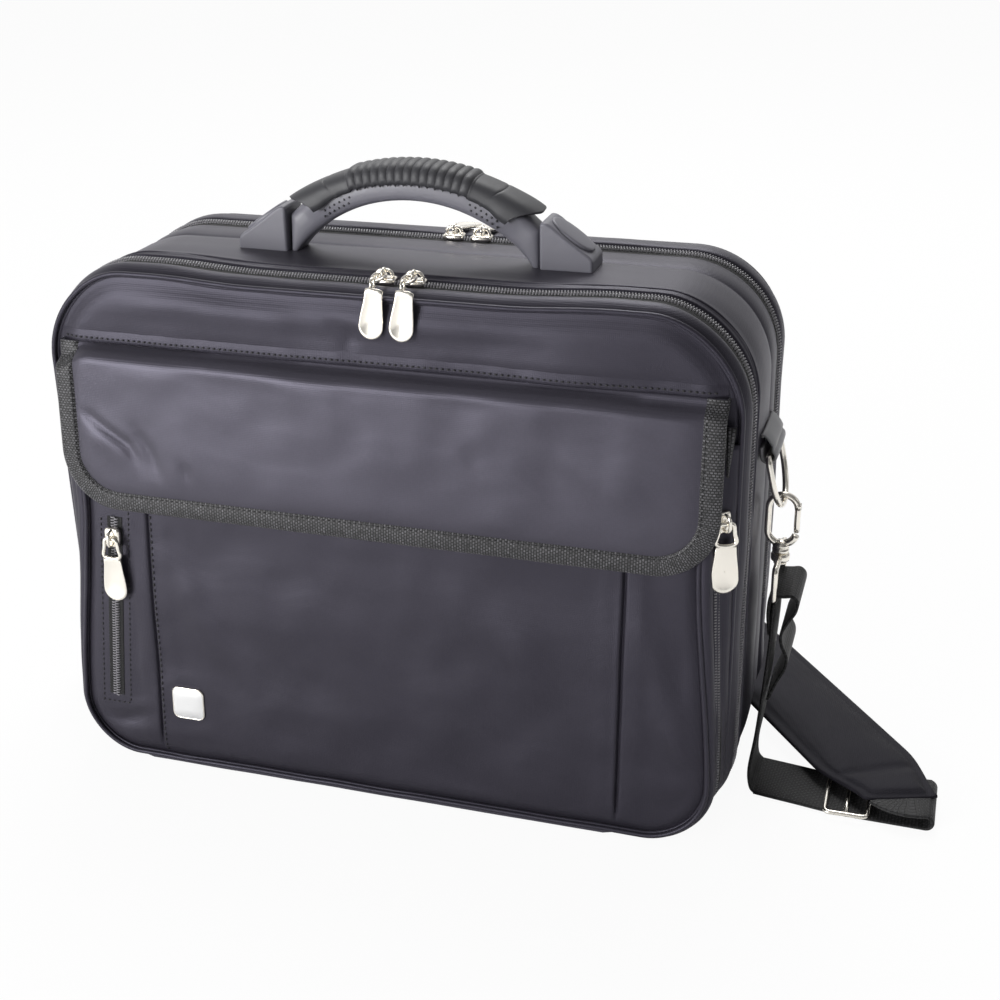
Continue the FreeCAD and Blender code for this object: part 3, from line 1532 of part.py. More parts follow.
build()
doc.recompute()
check()
os.makedirs("parts", exist_ok=True)
for item in sub_parts():
    item.Shape.exportStep("parts/%s.step" % item.Label)
    solids = len(item.Shape.Solids)
    print("%-24s %2d solid(s) %10.1f mm3" % (item.Label, solids, item.Shape.Volume))
print(len(sub_parts()), "sub-parts")
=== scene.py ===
# %% [markdown]
# A soft medical bag. The frame holds every piece at its true place and size. This script gives
# each fabric, plastic and metal piece its real form and finish, one step at a time.

# %% Load the frame
import math
import bpy
from mathutils import Matrix, Vector, noise


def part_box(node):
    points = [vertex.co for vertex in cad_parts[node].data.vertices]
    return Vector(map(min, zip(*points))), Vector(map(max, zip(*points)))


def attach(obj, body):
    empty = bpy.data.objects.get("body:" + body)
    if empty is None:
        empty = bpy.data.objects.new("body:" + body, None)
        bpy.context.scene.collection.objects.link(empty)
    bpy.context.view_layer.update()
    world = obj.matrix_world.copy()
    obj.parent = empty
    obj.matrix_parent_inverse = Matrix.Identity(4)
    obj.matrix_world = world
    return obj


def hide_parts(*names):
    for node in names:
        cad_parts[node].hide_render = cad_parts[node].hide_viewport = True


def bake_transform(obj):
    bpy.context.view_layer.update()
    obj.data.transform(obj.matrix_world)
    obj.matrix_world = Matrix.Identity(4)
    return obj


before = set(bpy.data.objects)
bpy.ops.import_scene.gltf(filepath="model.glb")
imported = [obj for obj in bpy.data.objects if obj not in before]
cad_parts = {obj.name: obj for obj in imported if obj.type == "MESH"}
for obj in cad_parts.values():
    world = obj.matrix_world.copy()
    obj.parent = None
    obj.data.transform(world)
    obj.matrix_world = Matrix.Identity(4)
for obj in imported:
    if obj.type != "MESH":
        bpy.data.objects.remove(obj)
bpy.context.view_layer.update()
MM = 0.001

# %% [markdown]
# The camera stands where the photographer stood: to the right of the bag's middle, about half a
# metre over the table, looking down by some 25 degrees. A focal length in pixels is turned into
# a lens in millimetres for a sensor 36 mm wide.

# %% Camera
FOCAL_PIXELS, IMAGE_PIXELS, SENSOR = 1569.53, 1000, 36.0
YAW, PITCH, ROLL = (math.radians(a) for a in (17.1125, 24.6020, -0.8488))
CAMERA_PLACE = Vector((0.29564, -0.80593, 0.54256))


def camera_turn(yaw, pitch, roll):
    """The turn of a camera that looks along a yaw and pitch, with a little roll."""
    forward = Vector((-math.sin(yaw) * math.cos(pitch), math.cos(yaw) * math.cos(pitch), -math.sin(pitch)))
    right = Vector((math.cos(yaw), math.sin(yaw), 0))
    up = right.cross(forward)
    across = right * math.cos(roll) + up * math.sin(roll)
    above = up * math.cos(roll) - right * math.sin(roll)
    return Matrix((across, above, -forward)).transposed().to_4x4()


lens = bpy.data.cameras.new("photo_camera")
lens.sensor_width = SENSOR
lens.lens = FOCAL_PIXELS * SENSOR / IMAGE_PIXELS
camera = bpy.data.objects.new("photo_camera", lens)
camera.matrix_world = Matrix.Translation(CAMERA_PLACE) @ camera_turn(YAW, PITCH, ROLL)
bpy.context.scene.collection.objects.link(camera)
bpy.context.scene.camera = camera
print("camera lens %.1f mm" % lens.lens)

# %% [markdown]
# Colours are written the way a screen shows them, as hex values. Shaders work with linear light,
# so one function converts them. A second function adds any shader node with its settings and its
# links, which keeps each material a short list of steps.

# %% Colour and node helpers


def linear(hex_colour):
    """A screen colour such as 2b2b33 as linear red, green and blue, and a full alpha."""
    values = [int(hex_colour[i:i + 2], 16) / 255 for i in (0, 2, 4)]
    return [v / 12.92 if v <= 0.04045 else ((v + 0.055) / 1.055) ** 2.4 for v in values] + [1.0]


def add(tree, kind, sockets=None, **settings):
    """A shader node with its settings; a socket gets a plain value or another node's output."""
    made = tree.nodes.new(kind)
    for name, value in settings.items():
        setattr(made, name, value)
    for name, value in (sockets or {}).items():
        socket = made.inputs[name]
        if isinstance(value, bpy.types.NodeSocket):
            tree.links.new(value, socket)
        else:
            socket.default_value = value
    return made


def blank(name):
    """A new material with an empty node tree."""
    material = bpy.data.materials.new(name)
    material.use_nodes = True
    material.node_tree.nodes.clear()
    return material, material.node_tree


def finish_off(tree, surface):
    """Joins the surface shader to the material's output."""
    add(tree, "ShaderNodeOutputMaterial", {"Surface": surface.outputs[0]})


# %% [markdown]
# The shell is a plain-woven nylon, dyed near black with a violet cast and coated on its back. Its
# yarns are flat filaments, so it has a satin sheen: pale where light grazes it, dark face on. The
# threads are about 0.25 mm apart, finer than a picture shows, so they are drawn at 1 mm and kept
# faint. Crossed sine waves make the weave; slow noise gives the uneven tone of handled cloth.

# %% Woven cloth


def wave_scale(pitch_mm):
    """The scale at which a wave texture repeats once in a pitch."""
    return math.pi / 10 / (pitch_mm * MM)


def woven(name, dark, light, pitch_mm, depth_mm, rough, sheen, shine=0.5):
    """A plain weave: crossed waves for the threads and slow noise for colour."""
    material, tree = blank(name)
    place = add(tree, "ShaderNodeTexCoord")
    threads = []
    for axis in "XYZ":
        wave = add(
            tree, "ShaderNodeTexWave",
            {
                "Vector": place.outputs["Object"], "Scale": wave_scale(pitch_mm), "Distortion": 0.5,
                "Detail": 1.0,
            },
            wave_type="BANDS", bands_direction=axis, wave_profile="SIN",
        )
        threads.append(wave.outputs["Fac"])
    pair = add(tree, "ShaderNodeMath", {0: threads[0], 1: threads[1]}, operation="ADD")
    weave = add(tree, "ShaderNodeMath", {0: pair.outputs[0], 1: threads[2]}, operation="ADD")
    cloud = add(tree, "ShaderNodeTexNoise", {
        "Vector": place.outputs["Object"], "Scale": 16.0, "Detail": 5.0, "Roughness": 0.6,
    })
    grain = add(
        tree, "ShaderNodeTexNoise", {"Vector": place.outputs["Object"], "Scale": 700.0, "Detail": 2.0},
    )
    tint = add(tree, "ShaderNodeMix", {
        "Factor": cloud.outputs["Fac"], "A": linear(dark), "B": linear(light),
    }, data_type="RGBA")
    shade = add(tree, "ShaderNodeMapRange", {
        "Value": weave.outputs[0], "From Min": 0.0, "From Max": 3.0, "To Min": 0.93, "To Max": 1.06,
    })
    speck = add(tree, "ShaderNodeMapRange", {
        "Value": grain.outputs["Fac"], "From Min": 0.3, "From Max": 0.7, "To Min": 0.93, "To Max": 1.07,
    })
    both = add(tree, "ShaderNodeMath", {0: shade.outputs[0], 1: speck.outputs[0]}, operation="MULTIPLY")
    colour = add(tree, "ShaderNodeVectorMath", {
        0: tint.outputs["Result"], "Scale": both.outputs[0],
    }, operation="SCALE")
    gloss = add(tree, "ShaderNodeMapRange", {
        "Value": cloud.outputs["Fac"], "To Min": rough - 0.06, "To Max": rough + 0.06,
    })
    relief = add(tree, "ShaderNodeBump", {
        "Height": weave.outputs[0], "Distance": depth_mm * MM, "Strength": 0.5,
    })
    surface = add(tree, "ShaderNodeBsdfPrincipled", {
        "Base Color": colour.outputs[0], "Roughness": gloss.outputs[0], "Normal": relief.outputs[0],
        "Sheen Weight": sheen, "Sheen Roughness": 0.4, "Sheen Tint": linear("cfccdb"), "IOR": 1.53,
        "Specular IOR Level": shine, "Specular Tint": linear("dcd8ee"),
    })
    finish_off(tree, surface)
    return material


SHELL = woven("woven_nylon_shell", "1f1d24", "28262d", 1.0, 0.04, 0.46, 0.12)
# The flap's cloth is the shell's nylon drawn lighter and with more sheen: painted light, for the flap
# catching more light than the pocket below it.
LIGHTER_PAINTED_NYLON = woven("woven_nylon_painted_lighter", "302e35", "38363e", 1.0, 0.04, 0.42, 0.2, 0.7)
LINING = woven("woven_polyester_lining", "2a2a2e", "323238", 1.0, 0.04, 0.6, 0.1)
PAD_CLOTH = woven("brushed_nylon_pad_cover", "151418", "1f1e22", 1.1, 0.08, 0.6, 0.03, 0.18)

# %% [markdown]
# The narrow goods are the binding, the zip tape and the strap webbing. Their yarns show as short
# pale dashes with dark gaps, each row shifted by half a dash. A brick pattern draws just that. It
# follows the length of the piece, so these materials read the UV map, where one unit is a metre.

# %% Ribbed tapes


def ribbed(name, dark, light, along_mm, across_mm, depth_mm, rough):
    """A narrow woven tape: dashes across its length, in rows that are shifted by half."""
    material, tree = blank(name)
    place = add(tree, "ShaderNodeTexCoord")
    turned = add(tree, "ShaderNodeMapping", {"Vector": place.outputs["UV"], "Rotation": (0, 0, math.pi / 2)})
    dashes = add(
        tree, "ShaderNodeTexBrick",
        {
            "Vector": turned.outputs[0], "Scale": 1.0, "Brick Width": across_mm * MM,
            "Row Height": along_mm * MM, "Bias": -0.2,
            "Mortar Size": along_mm * MM * 0.28, "Mortar Smooth": 0.6,
            "Color1": linear("ffffff"), "Color2": linear("a0a0a0"), "Mortar": linear("000000"),
        },
        offset=0.5,
    )
    wear = add(tree, "ShaderNodeTexNoise", {"Vector": place.outputs["Object"], "Scale": 420.0, "Detail": 3.0})
    patchy = add(tree, "ShaderNodeMapRange", {
        "Value": wear.outputs["Fac"], "From Min": 0.35, "From Max": 0.65, "To Min": 0.45, "To Max": 1.0,
    })
    mixed = add(tree, "ShaderNodeMath", {
        0: dashes.outputs["Color"], 1: patchy.outputs[0],
    }, operation="MULTIPLY")
    colour = add(tree, "ShaderNodeMix", {
        "Factor": mixed.outputs[0], "A": linear(dark), "B": linear(light),
    }, data_type="RGBA")
    relief = add(tree, "ShaderNodeBump", {
        "Height": dashes.outputs["Color"], "Distance": depth_mm * MM, "Strength": 0.8,
    })
    surface = add(tree, "ShaderNodeBsdfPrincipled", {
        "Base Color": colour.outputs["Result"], "Roughness": rough, "Normal": relief.outputs[0],
        "Sheen Weight": 0.15, "Sheen Roughness": 0.4, "IOR": 1.53, "Specular IOR Level": 0.4,
    })
    finish_off(tree, surface)
    return material


BINDING = ribbed("grosgrain_nylon_binding", "0c0c0d", "68676b", 1.5, 2.0, 0.35, 0.45)
TAPE = ribbed("woven_polyester_zip_tape", "040405", "1a191c", 1.1, 1.8, 0.12, 0.7)
WEBBING = ribbed("woven_nylon_webbing", "040405", "232226", 1.8, 3.0, 0.4, 0.6)

# %% [markdown]
# Hard parts. The zip chain is a coil of black nylon filament, smooth and a little shiny; its colour is drawn
# pale grey, a painted highlight for the glints along its loops. Brackets and handle core are moulded plastic
# with a fine spark-eroded grain; the grip is a softer rubber. The pulls, rings and hooks are die-cast zinc
# with a polished nickel plate, slightly warm in colour.

# %% Moulded and plated finishes


def moulded(name, colour_hex, rough, grain_mm, depth_mm, **extra):
    """A moulded or plated surface: plain colour, fine grain and faint smudges in the gloss."""
    material, tree = blank(name)
    place = add(tree, "ShaderNodeTexCoord")
    grain = add(tree, "ShaderNodeTexNoise", {
        "Vector": place.outputs["Object"], "Scale": 1 / (grain_mm * MM), "Detail": 2.0,
    })
    smudge = add(
        tree, "ShaderNodeTexNoise", {"Vector": place.outputs["Object"], "Scale": 60.0, "Detail": 3.0},
    )
    gloss = add(tree, "ShaderNodeMapRange", {
        "Value": smudge.outputs["Fac"], "To Min": max(0.04, rough - 0.07), "To Max": rough + 0.07,
    })
    relief = add(tree, "ShaderNodeBump", {
        "Height": grain.outputs["Fac"], "Distance": depth_mm * MM, "Strength": 0.6,
    })
    sockets = {"Base Color": linear(colour_hex), "Roughness": gloss.outputs[0], "Normal": relief.outputs[0]}
    sockets.update({key.replace("_", " "): value for key, value in extra.items()})
    finish_off(tree, add(tree, "ShaderNodeBsdfPrincipled", sockets))
    return material


# Pale grey is a painted highlight: the coil is black nylon, drawn light so that its glints show.
PALE_PAINTED_COIL = moulded("nylon_coil_painted_pale", "7d7b80", 0.22, 0.5, 0.01, IOR=1.6)
PLASTIC = moulded("moulded_abs_plastic", "72717a", 0.42, 0.5, 0.02, IOR=1.54)
RUBBER = moulded("moulded_soft_rubber", "38383c", 0.52, 0.4, 0.03, IOR=1.54)
TAB = moulded("coated_nylon_tab", "88888b", 0.45, 0.4, 0.03, IOR=1.5)
NICKEL = moulded("polished_nickel_plate", "fdf8ee", 0.22, 2.0, 0.004, Metallic=1.0)
STEEL = moulded("zinc_plated_steel", "b9bcc0", 0.3, 1.0, 0.004, Metallic=1.0)
BADGE = moulded("satin_aluminium_badge", "fdfdfd", 0.34, 0.6, 0.006, Metallic=1.0)
BOARD = moulded("pressed_fibre_board", "26262a", 0.7, 0.8, 0.03, IOR=1.45)
HOOKS = moulded("woven_hook_and_loop", "1a1a1c", 0.9, 0.9, 0.3, IOR=1.5)
THREAD = moulded("twisted_polyester_thread", "18171a", 0.6, 0.3, 0.02, IOR=1.53)

# %% [markdown]
# Every soft skin here is a loft: rows of points that are joined into four-sided faces. The rows
# follow the bag's outline, seen from the front. One function makes a mesh from points in
# millimetres and hangs it on its body; another builds the loft and its UV map in metres.

# %% Mesh helpers


def piece(name, points, faces, finish, body, *nodes, uv=None, wall=0.0):
    """A mesh object in millimetres that rides on a body, if one is given, and stands for the nodes named."""
    mesh = bpy.data.meshes.new(name)
    mesh.from_pydata([Vector(p) * MM for p in points], [], faces)
    mesh.validate()
    if uv:
        layer = mesh.uv_layers.new(name="UVMap")
        for loop in mesh.loops:
            layer.data[loop.index].uv = uv[loop.vertex_index]
    mesh.polygons.foreach_set("use_smooth", [True] * len(mesh.polygons))
    mesh.materials.append(finish)
    item = bpy.data.objects.new(name, mesh)
    bpy.context.scene.collection.objects.link(item)
    if wall:
        item.modifiers.new("wall", "SOLIDIFY").thickness = wall * MM
    if nodes:
        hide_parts(*nodes)
    if body:
        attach(item, body)
    return item


def loft(name, rows, finish, body, *nodes, closed=True, flip=False, capped=False, **more):
    """Rows of equal length joined by faces, with a UV map in metres."""
    count = len(rows[0])
    points = [p for row in rows for p in row]
    columns = count if closed else count - 1
    faces = []
    for k in range(len(rows) - 1):
        for i in range(columns):
            j = (i + 1) % count
            quad = (k * count + i, k * count + j, (k + 1) * count + j, (k + 1) * count + i)
            faces.append(quad[::-1] if flip else quad)
    if capped:
        ends = [tuple(range(count)), tuple(reversed(range(len(points) - count, len(points))))]
        faces += [end if not flip else end[::-1] for end in (ends[0][::-1], ends[1][::-1])]
    middle = rows[len(rows) // 2]
    along = [0.0]
    for i in range(1, count):
        along.append(along[-1] + math.dist(middle[i - 1], middle[i]) * MM)
    across = [0.0]
    for k in range(1, len(rows)):
        across.append(across[-1] + math.dist(rows[k - 1][count // 2], rows[k][count // 2]) * MM)
    uv = [(along[i], across[k]) for k in range(len(rows)) for i in range(count)]
    return piece(name, points, faces, finish, body, *nodes, uv=uv, **more)


# %% [markdown]
# The outline. Starting at the middle of the base it goes left, up, over the top and down the
# right side. Each point has an outward direction, so a row at any inset is the same outline drawn
# in. The shoulders of the soft front stand a little higher than the middle, as in the photo. The
# rear cover folds at a height of 90 mm, so the outline is also kept as a part over that fold and a
# part under it, with a thin gap between them.

# %% Outline of the bag
HALF, TALL, TOP_ROUND, BASE_ROUND = 200.0, 300.0, 54.0, 40.0
STEP_MM, CORNER_STEPS = 3.5, 24
FOLD_HIGH, UNDER_EDGE, OVER_EDGE = 90.0, 89.85, 90.15


def bag_outline():
    """Points (x, z) with outward directions, clockwise as seen from the front."""
    points = []

    def straight(x0, z0, x1, z1, nx, nz):
        count = max(1, round(math.dist((x0, z0), (x1, z1)) / STEP_MM))
        for i in range(count):
            points.append((x0 + (x1 - x0) * i / count, z0 + (z1 - z0) * i / count, nx, nz))

    def corner(cx, cz, radius, start):
        for i in range(CORNER_STEPS):
            angle = math.radians(start - 90 * i / CORNER_STEPS)
            nx, nz = math.cos(angle), math.sin(angle)
            points.append((cx + radius * nx, cz + radius * nz, nx, nz))

    straight(0, 0, -HALF + BASE_ROUND, 0, 0, -1)
    corner(-HALF + BASE_ROUND, BASE_ROUND, BASE_ROUND, 270)
    straight(-HALF, BASE_ROUND, -HALF, TALL - TOP_ROUND, -1, 0)
    corner(-HALF + TOP_ROUND, TALL - TOP_ROUND, TOP_ROUND, 180)
    straight(-HALF + TOP_ROUND, TALL, HALF - TOP_ROUND, TALL, 0, 1)
    corner(HALF - TOP_ROUND, TALL - TOP_ROUND, TOP_ROUND, 90)
    straight(HALF, TALL - TOP_ROUND, HALF, BASE_ROUND, 1, 0)
    corner(HALF - BASE_ROUND, BASE_ROUND, BASE_ROUND, 0)
    straight(HALF - BASE_ROUND, 0, 0, 0, 0, -1)
    return points


OUTLINE = bag_outline()
FROM_TOP = OUTLINE[len(OUTLINE) // 2:] + OUTLINE[:len(OUTLINE) // 2]
UNDER_FOLD = [p for p in FROM_TOP if p[1] < FOLD_HIGH]
UNDER_FOLD = [(HALF, UNDER_EDGE, 1, 0)] + UNDER_FOLD + [(-HALF, UNDER_EDGE, -1, 0)]
OVER_FOLD = [p for p in OUTLINE if p[1] > FOLD_HIGH]
OVER_FOLD = [(-HALF, OVER_EDGE, -1, 0)] + OVER_FOLD + [(HALF, OVER_EDGE, 1, 0)]


def ease(low, high, value):
    """0 below low, 1 above high, and a smooth change between."""
    t = min(1.0, max(0.0, (value - low) / (high - low)))
    return t * t * (3 - 2 * t)


def soft(x, y, z, scale, amount):
    """A slow wander of the cloth, in millimetres."""
    return amount * noise.noise(Vector((x, y, z)) / scale)


def shoulder(x, y, z):
    """How far the top shoulders of the front stand proud of the middle."""
    front = 1 - ease(-40, 0, y)
    return 2.6 * front * ease(262, 292, z) * ease(70, 130, abs(x)) * (1 - ease(150, 196, abs(x)))


def row(y, inset, outline=OUTLINE, floor=None, wander=0.0):
    """One row of points at a depth y, drawn in from the outline by inset."""
    points = []
    for x, z, nx, nz in outline:
        draw = inset - soft(x, y, z, 38, wander)
        px, pz = x - draw * nx, z - draw * nz
        pz += shoulder(px, y, pz)
        points.append((px, y, max(pz, floor) if floor is not None else pz))
    return points


print("outline points", len(OUTLINE), len(OVER_FOLD), len(UNDER_FOLD))

# %% [markdown]
# A face of padded cloth is a grid: rows of points from edge to edge, each row as wide as the
# rounded outline is at its height. A face stays smooth over its middle this way, where rows that
# shrink to a point would pinch. The room from the edge tells how full the padding is.

# %% Panels of padded cloth


def edge_room(x, z, shape):
    """How far inside a rounded outline a point lies."""
    low, high, half, top_round, base_round = shape
    upper = z > (low + high) / 2
    corner = top_round if upper else base_round
    dx = abs(x) - (half - corner)
    dz = z - (high - corner) if upper else low + corner - z
    if dx > 0 and dz > 0:
        return corner - math.hypot(dx, dz)
    return corner - max(dx, dz)


def panel_levels(shape, step_mm=3.0):
    """Each row's height and half its width, with the rows close together in the corners."""
    low, high, half, top_round, base_round = shape
    turns = [math.radians(angle) for angle in range(0, 90, 6)]
    levels = []
    if base_round:
        levels += [
            (low + base_round * (1 - math.cos(a)), half - base_round * (1 - math.sin(a))) for a in turns
        ]
    straight = high - top_round - low - base_round
    count = max(1, round(straight / step_mm))
    levels += [(low + base_round + straight * i / count, half) for i in range(count + 1)]
    if top_round:
        levels += [
            (high - top_round * (1 - math.cos(a)), half - top_round * (1 - math.sin(a)))
            for a in reversed(turns)
        ]
    return levels


def panel_rows(shape, depth, columns=124, step_mm=3.0, half=None):
    """A face as rows from left to right, the lowest first; depth(x, z) gives y.

    columns is how many steps a row has, or a function that gives a row's places.
    """
    rows = []
    for z, reach in panel_levels(shape, step_mm):
        if half:
            reach *= half(z) / shape[2]
        if callable(columns):
            xs = columns(reach)
        else:
            xs = [reach * (2 * i / columns - 1) for i in range(columns + 1)]
        rows.append([(x, depth(x, z), z) for x in xs])
    return rows


def crease(x, z, path, width, height):
    """A soft ridge, or a crease where height is negative, along a bent line of points."""
    best, share, total = 1e9, 0.0, len(path) - 1
    for i in range(total):
        (x0, z0), (x1, z1) = path[i], path[i + 1]
        dx, dz = x1 - x0, z1 - z0
        t = min(1.0, max(0.0, ((x - x0) * dx + (z - z0) * dz) / (dx * dx + dz * dz)))
        off = math.hypot(x - x0 - t * dx, z - z0 - t * dz)
        if off < best:
            best, share = off, (i + t) / total
    fade = math.sin(math.pi * min(max(share, 0.04), 0.96)) ** 0.6
    return height * fade * math.exp(-(best / width) ** 2)


def creases(x, z, table):
    """The sum of several ridges and creases, each given as its path, width and height."""
    return sum(crease(x, z, *one) for one in table)


# %% [markdown]
# The front cover is one padded shell: a rim that starts beside the zip, turns over a rounded edge
# and meets the face under the piping. Above the flap's seam the face swells like a low pillow.

# %% Front cover
COVER_RIM = [
    (-47.4, 2.5), (-53.4, 2.5), (-54.0, 0.2), (-56.0, -0.5), (-58.0, -0.7), (-60.0, -0.2),
    (-62.0, 0.9), (-64.0, 2.4), (-65.4, 4.0), (-66.0, 5.6),
]
FRONT_SHAPE = (4.6, 295.6, 195.6, 49.6, 35.6)
FRONT_CREASES = [
    ([(-165, 276), (-110, 284), (-30, 281)], 5, 1.3), ([(-60, 270), (10, 272), (90, 280)], 6, -1.1),
    ([(40, 268), (100, 266), (165, 272)], 6, 1.1), ([(-30, 284), (-14, 276), (-16, 268)], 4, -1.3),
]
FRONT_FACE_Y, RIM_WANDER = -65.2, 0.9
FLAP_SEAM, FLAP_LOW, FLAP_HALF, FLAP_ROUND = 259.0, 163.0, 190.0, 34.0


def front_depth(x, z):
    """The front face: sunk at its edge, full above the flap's seam, with slow waves."""
    room = edge_room(x, z, FRONT_SHAPE)
    rise = 1.2 * ease(0, 12, room)
    rise += 2.4 * ease(0, 14, room) * ease(FLAP_SEAM - 2, FLAP_SEAM + 5, z)
    waves = soft(x, 5, z, 46, 1.6) + soft(x, 9, z, 21, 0.6)
    waves += creases(x, z, FRONT_CREASES)
    return FRONT_FACE_Y - rise - waves * ease(2, 22, room)


def rim_rows(profile, outline=OUTLINE, floor=None):
    """Rows of a cover's rim; the cloth wanders more away from the zip."""
    zip_y = profile[0][0]
    return [row(y, inset, outline, floor, RIM_WANDER * ease(0, 9, abs(y - zip_y))) for y, inset in profile]


front = loft(
    "front_cover_rim", rim_rows(COVER_RIM, floor=2.8), SHELL, "front_cover", "front_cover_panel",
    flip=True, wall=2.6,
)
front_face = [
    [(x, y, z + shoulder(x, y, z)) for x, y, z in line] for line in panel_rows(FRONT_SHAPE, front_depth)
]
loft("front_cover_face", front_face, SHELL, "front_cover", closed=False, wall=2.4)
print(front.name, len(front.data.polygons))

# %% [markdown]
# The band between the zips belongs to the case. It is padded too: between its sewn seams it
# swells a little, and behind the front zip it carries two piped ridges. It is open at both sides,
# where the covers close on it.

# %% Band between the zips
BAND = [
    (-46.8, 2.6), (-44, 2.5), (-40.4, 2.4), (-40, 0.5), (-39, -0.1), (-37, 0.4), (-34, 0.9), (-32.5, 0.4),
    (-31, -0.2), (-29.5, 0.4), (-27, 0.8), (-22, 0.3), (-16, -0.5), (-8, -0.9), (0, -0.9), (8, -0.8),
    (14, -0.3), (17, 0.5), (18, 1.0), (19, 0.5), (22, -0.2), (27, -0.5), (32, -0.3), (36, 0.1),
    (39, 0.2), (40, 0.7), (40.4, 2.4), (44, 2.5), (46.8, 2.6),
]


def on_ground(rows):
    """Keeps rows on or over the ground."""
    return [[(x, y, max(z, 0.0)) for x, y, z in points] for points in rows]


band_rows = on_ground([row(y, inset, wander=0.8 * (1 - ease(30, 40, abs(y)))) for y, inset in BAND])
band = loft("band_cloth", band_rows, SHELL, "case", "gusset_band", wall=2.2)
loft("band_lining", [row(y, 3.2) for y in (-38, -20, 0, 20, 38)], LINING, "case", flip=True)
print(band.name, len(band.data.polygons))

# %% [markdown]
# The rear cover folds back above a line 90 mm over the ground. Below it the same shell is sewn
# to the case, so it is made as two pieces from one set of rows, each with its own part of the
# outline.

# %% Rear cover and lower back
REAR_RIM = [
    (47.4, 2.5), (53.4, 2.5), (54.0, 0.2), (57, -0.5), (61, -0.7), (65, -0.4), (68, 0.2), (71, 1.2),
    (73.4, 2.8), (74.6, 4.4), (75, 6.0),
]
REAR_SHAPE = FRONT_SHAPE
REAR_CREASES = [
    ([(-150, 250), (-90, 215), (-40, 205)], 8, -1.2), ([(60, 240), (110, 215), (150, 170)], 9, -1.1),
]
REAR_FACE_Y = 74.3


def rear_depth(x, z):
    """The rear face: full in its middle, with slow waves and two long creases."""
    room = edge_room(x, z, REAR_SHAPE)
    waves = soft(x, 31, z, 50, 1.3) + soft(x, 37, z, 23, 0.5) + creases(x, z, REAR_CREASES)
    return REAR_FACE_Y + 0.6 * ease(0, 20, room) + waves * ease(2, 24, room)


def rear_shell(name, outline, shape, body, node, floor=None):
    """A rim over its part of the outline and the face that belongs to it."""
    loft(name + "_rim", rim_rows(REAR_RIM, outline, floor), SHELL, body, closed=False, wall=2.6)
    face = panel_rows(shape, rear_depth)
    loft(name + "_face", face, SHELL, body, node, closed=False, flip=True, wall=2.4)


low, high, half, top_round, base_round = REAR_SHAPE
over_shape, under_shape = (OVER_EDGE, high, half, top_round, 0), (low, UNDER_EDGE, half, 0, base_round)
rear_shell("rear_cover", OVER_FOLD, over_shape, "rear_cover", "rear_cover_panel")
rear_shell("rear_base", UNDER_FOLD, under_shape, "case", "rear_base_panel", floor=0.0)
print("rear cover made")

# %% [markdown]
# Piping is a cord in a folded strip of fabric, sewn into an edge. A round tube along the edge is
# all it needs. The tube helper carries a small frame along its path, so the section doesn't
# twist; rings, hooks and wire use it as well.

# %% Tubes and piping


def tube(name, path, radius, finish, body, *nodes, closed=False, sides=10, **more):
    """A round section carried along a path; radius is a number or one number per point."""
    path = [Vector(p) for p in path]
    count = len(path)
    radii = radius if isinstance(radius, (list, tuple)) else [radius] * count
    rows, normal = [], None
    for i, point in enumerate(path):
        before = path[i - 1] if i or closed else path[i]
        after = path[(i + 1) % count] if i < count - 1 or closed else path[i]
        tangent = (after - before).normalized()
        if normal is None:
            normal = tangent.orthogonal().normalized()
        normal = (normal - tangent * normal.dot(tangent)).normalized()
        side = tangent.cross(normal)
        rows.append([
            tuple(point + (normal * math.cos(a) + side * math.sin(a)) * radii[i])
            for a in (2 * math.pi * s / sides for s in range(sides))
        ])
    if closed:
        rows.append(rows[0])
    return loft(name, rows, finish, body, *nodes, capped=not closed, flip=True, **more)


def spline(points, steps=8, closed=False):
    """A smooth line through points."""
    points = [Vector(p) for p in points]
    count = len(points)
    result = []
    for i in range(count if closed else count - 1):
        if closed:
            a, b, c, d = (points[(i + k) % count] for k in (-1, 0, 1, 2))
        else:
            a, b, c, d = points[max(i - 1, 0)], points[i], points[i + 1], points[min(i + 2, count - 1)]
        for s in range(steps):
            t = s / steps
            square, cube = 2 * a - 5 * b + 4 * c - d, 3 * b - a - 3 * c + d
            result.append(0.5 * (2 * b + (c - a) * t + square * t * t + cube * t ** 3))
    if not closed:
        result.append(points[-1])
    return [tuple(p) for p in result]


PIPE, FRONT_PIPE, REAR_PIPE_Y = 1.35, 1.5, 75.0
tube(
    "front_edge_piping", row(-66.7, 3.1, floor=4.2), FRONT_PIPE, SHELL, "front_cover", "front_piping",
    closed=True, sides=8,
)
tube("rear_edge_piping", row(REAR_PIPE_Y, 3.2, OVER_FOLD), PIPE, SHELL, "rear_cover", "rear_piping", sides=8)
tube(
    "rear_base_edge_piping", row(REAR_PIPE_Y, 3.2, UNDER_FOLD, floor=1.5), PIPE, SHELL, "case",
    "rear_base_piping", sides=8,
)
tube("band_ridge_front", row(-38.6, 0.6, floor=1.4), 1.2, SHELL, "case", closed=True, sides=8)
tube("band_ridge_back", row(-30.6, 0.5, floor=1.4), 1.1, SHELL, "case", closed=True, sides=8)
print("piping made")

# %% [markdown]
# Each main zip is two woven tapes and a coil chain. The tape is a narrow strip beside the chain.
# The coil shows as a row of small rounded loops on each side that mesh in the middle; each loop
# is a short bent bar, and every second one belongs to the other tape. A small generator takes even
# steps along any path; the stitches and the pocket's zips use it as well.

# %% Zip tapes and chains
PITCH, FRONT_ZIP_Y, REAR_ZIP_Y = 1.7, -47, 47


def walk(path, pitch, start=0.0):
    """Even steps along a path: the point before each step and the share of the way to the next."""
    travelled, target = 0.0, start
    for i in range(len(path) - 1):
        step = (path[i + 1] - path[i]).length
        while step > 0 and target <= travelled + step:
            yield i, (target - travelled) / step
            target += pitch
        travelled += step


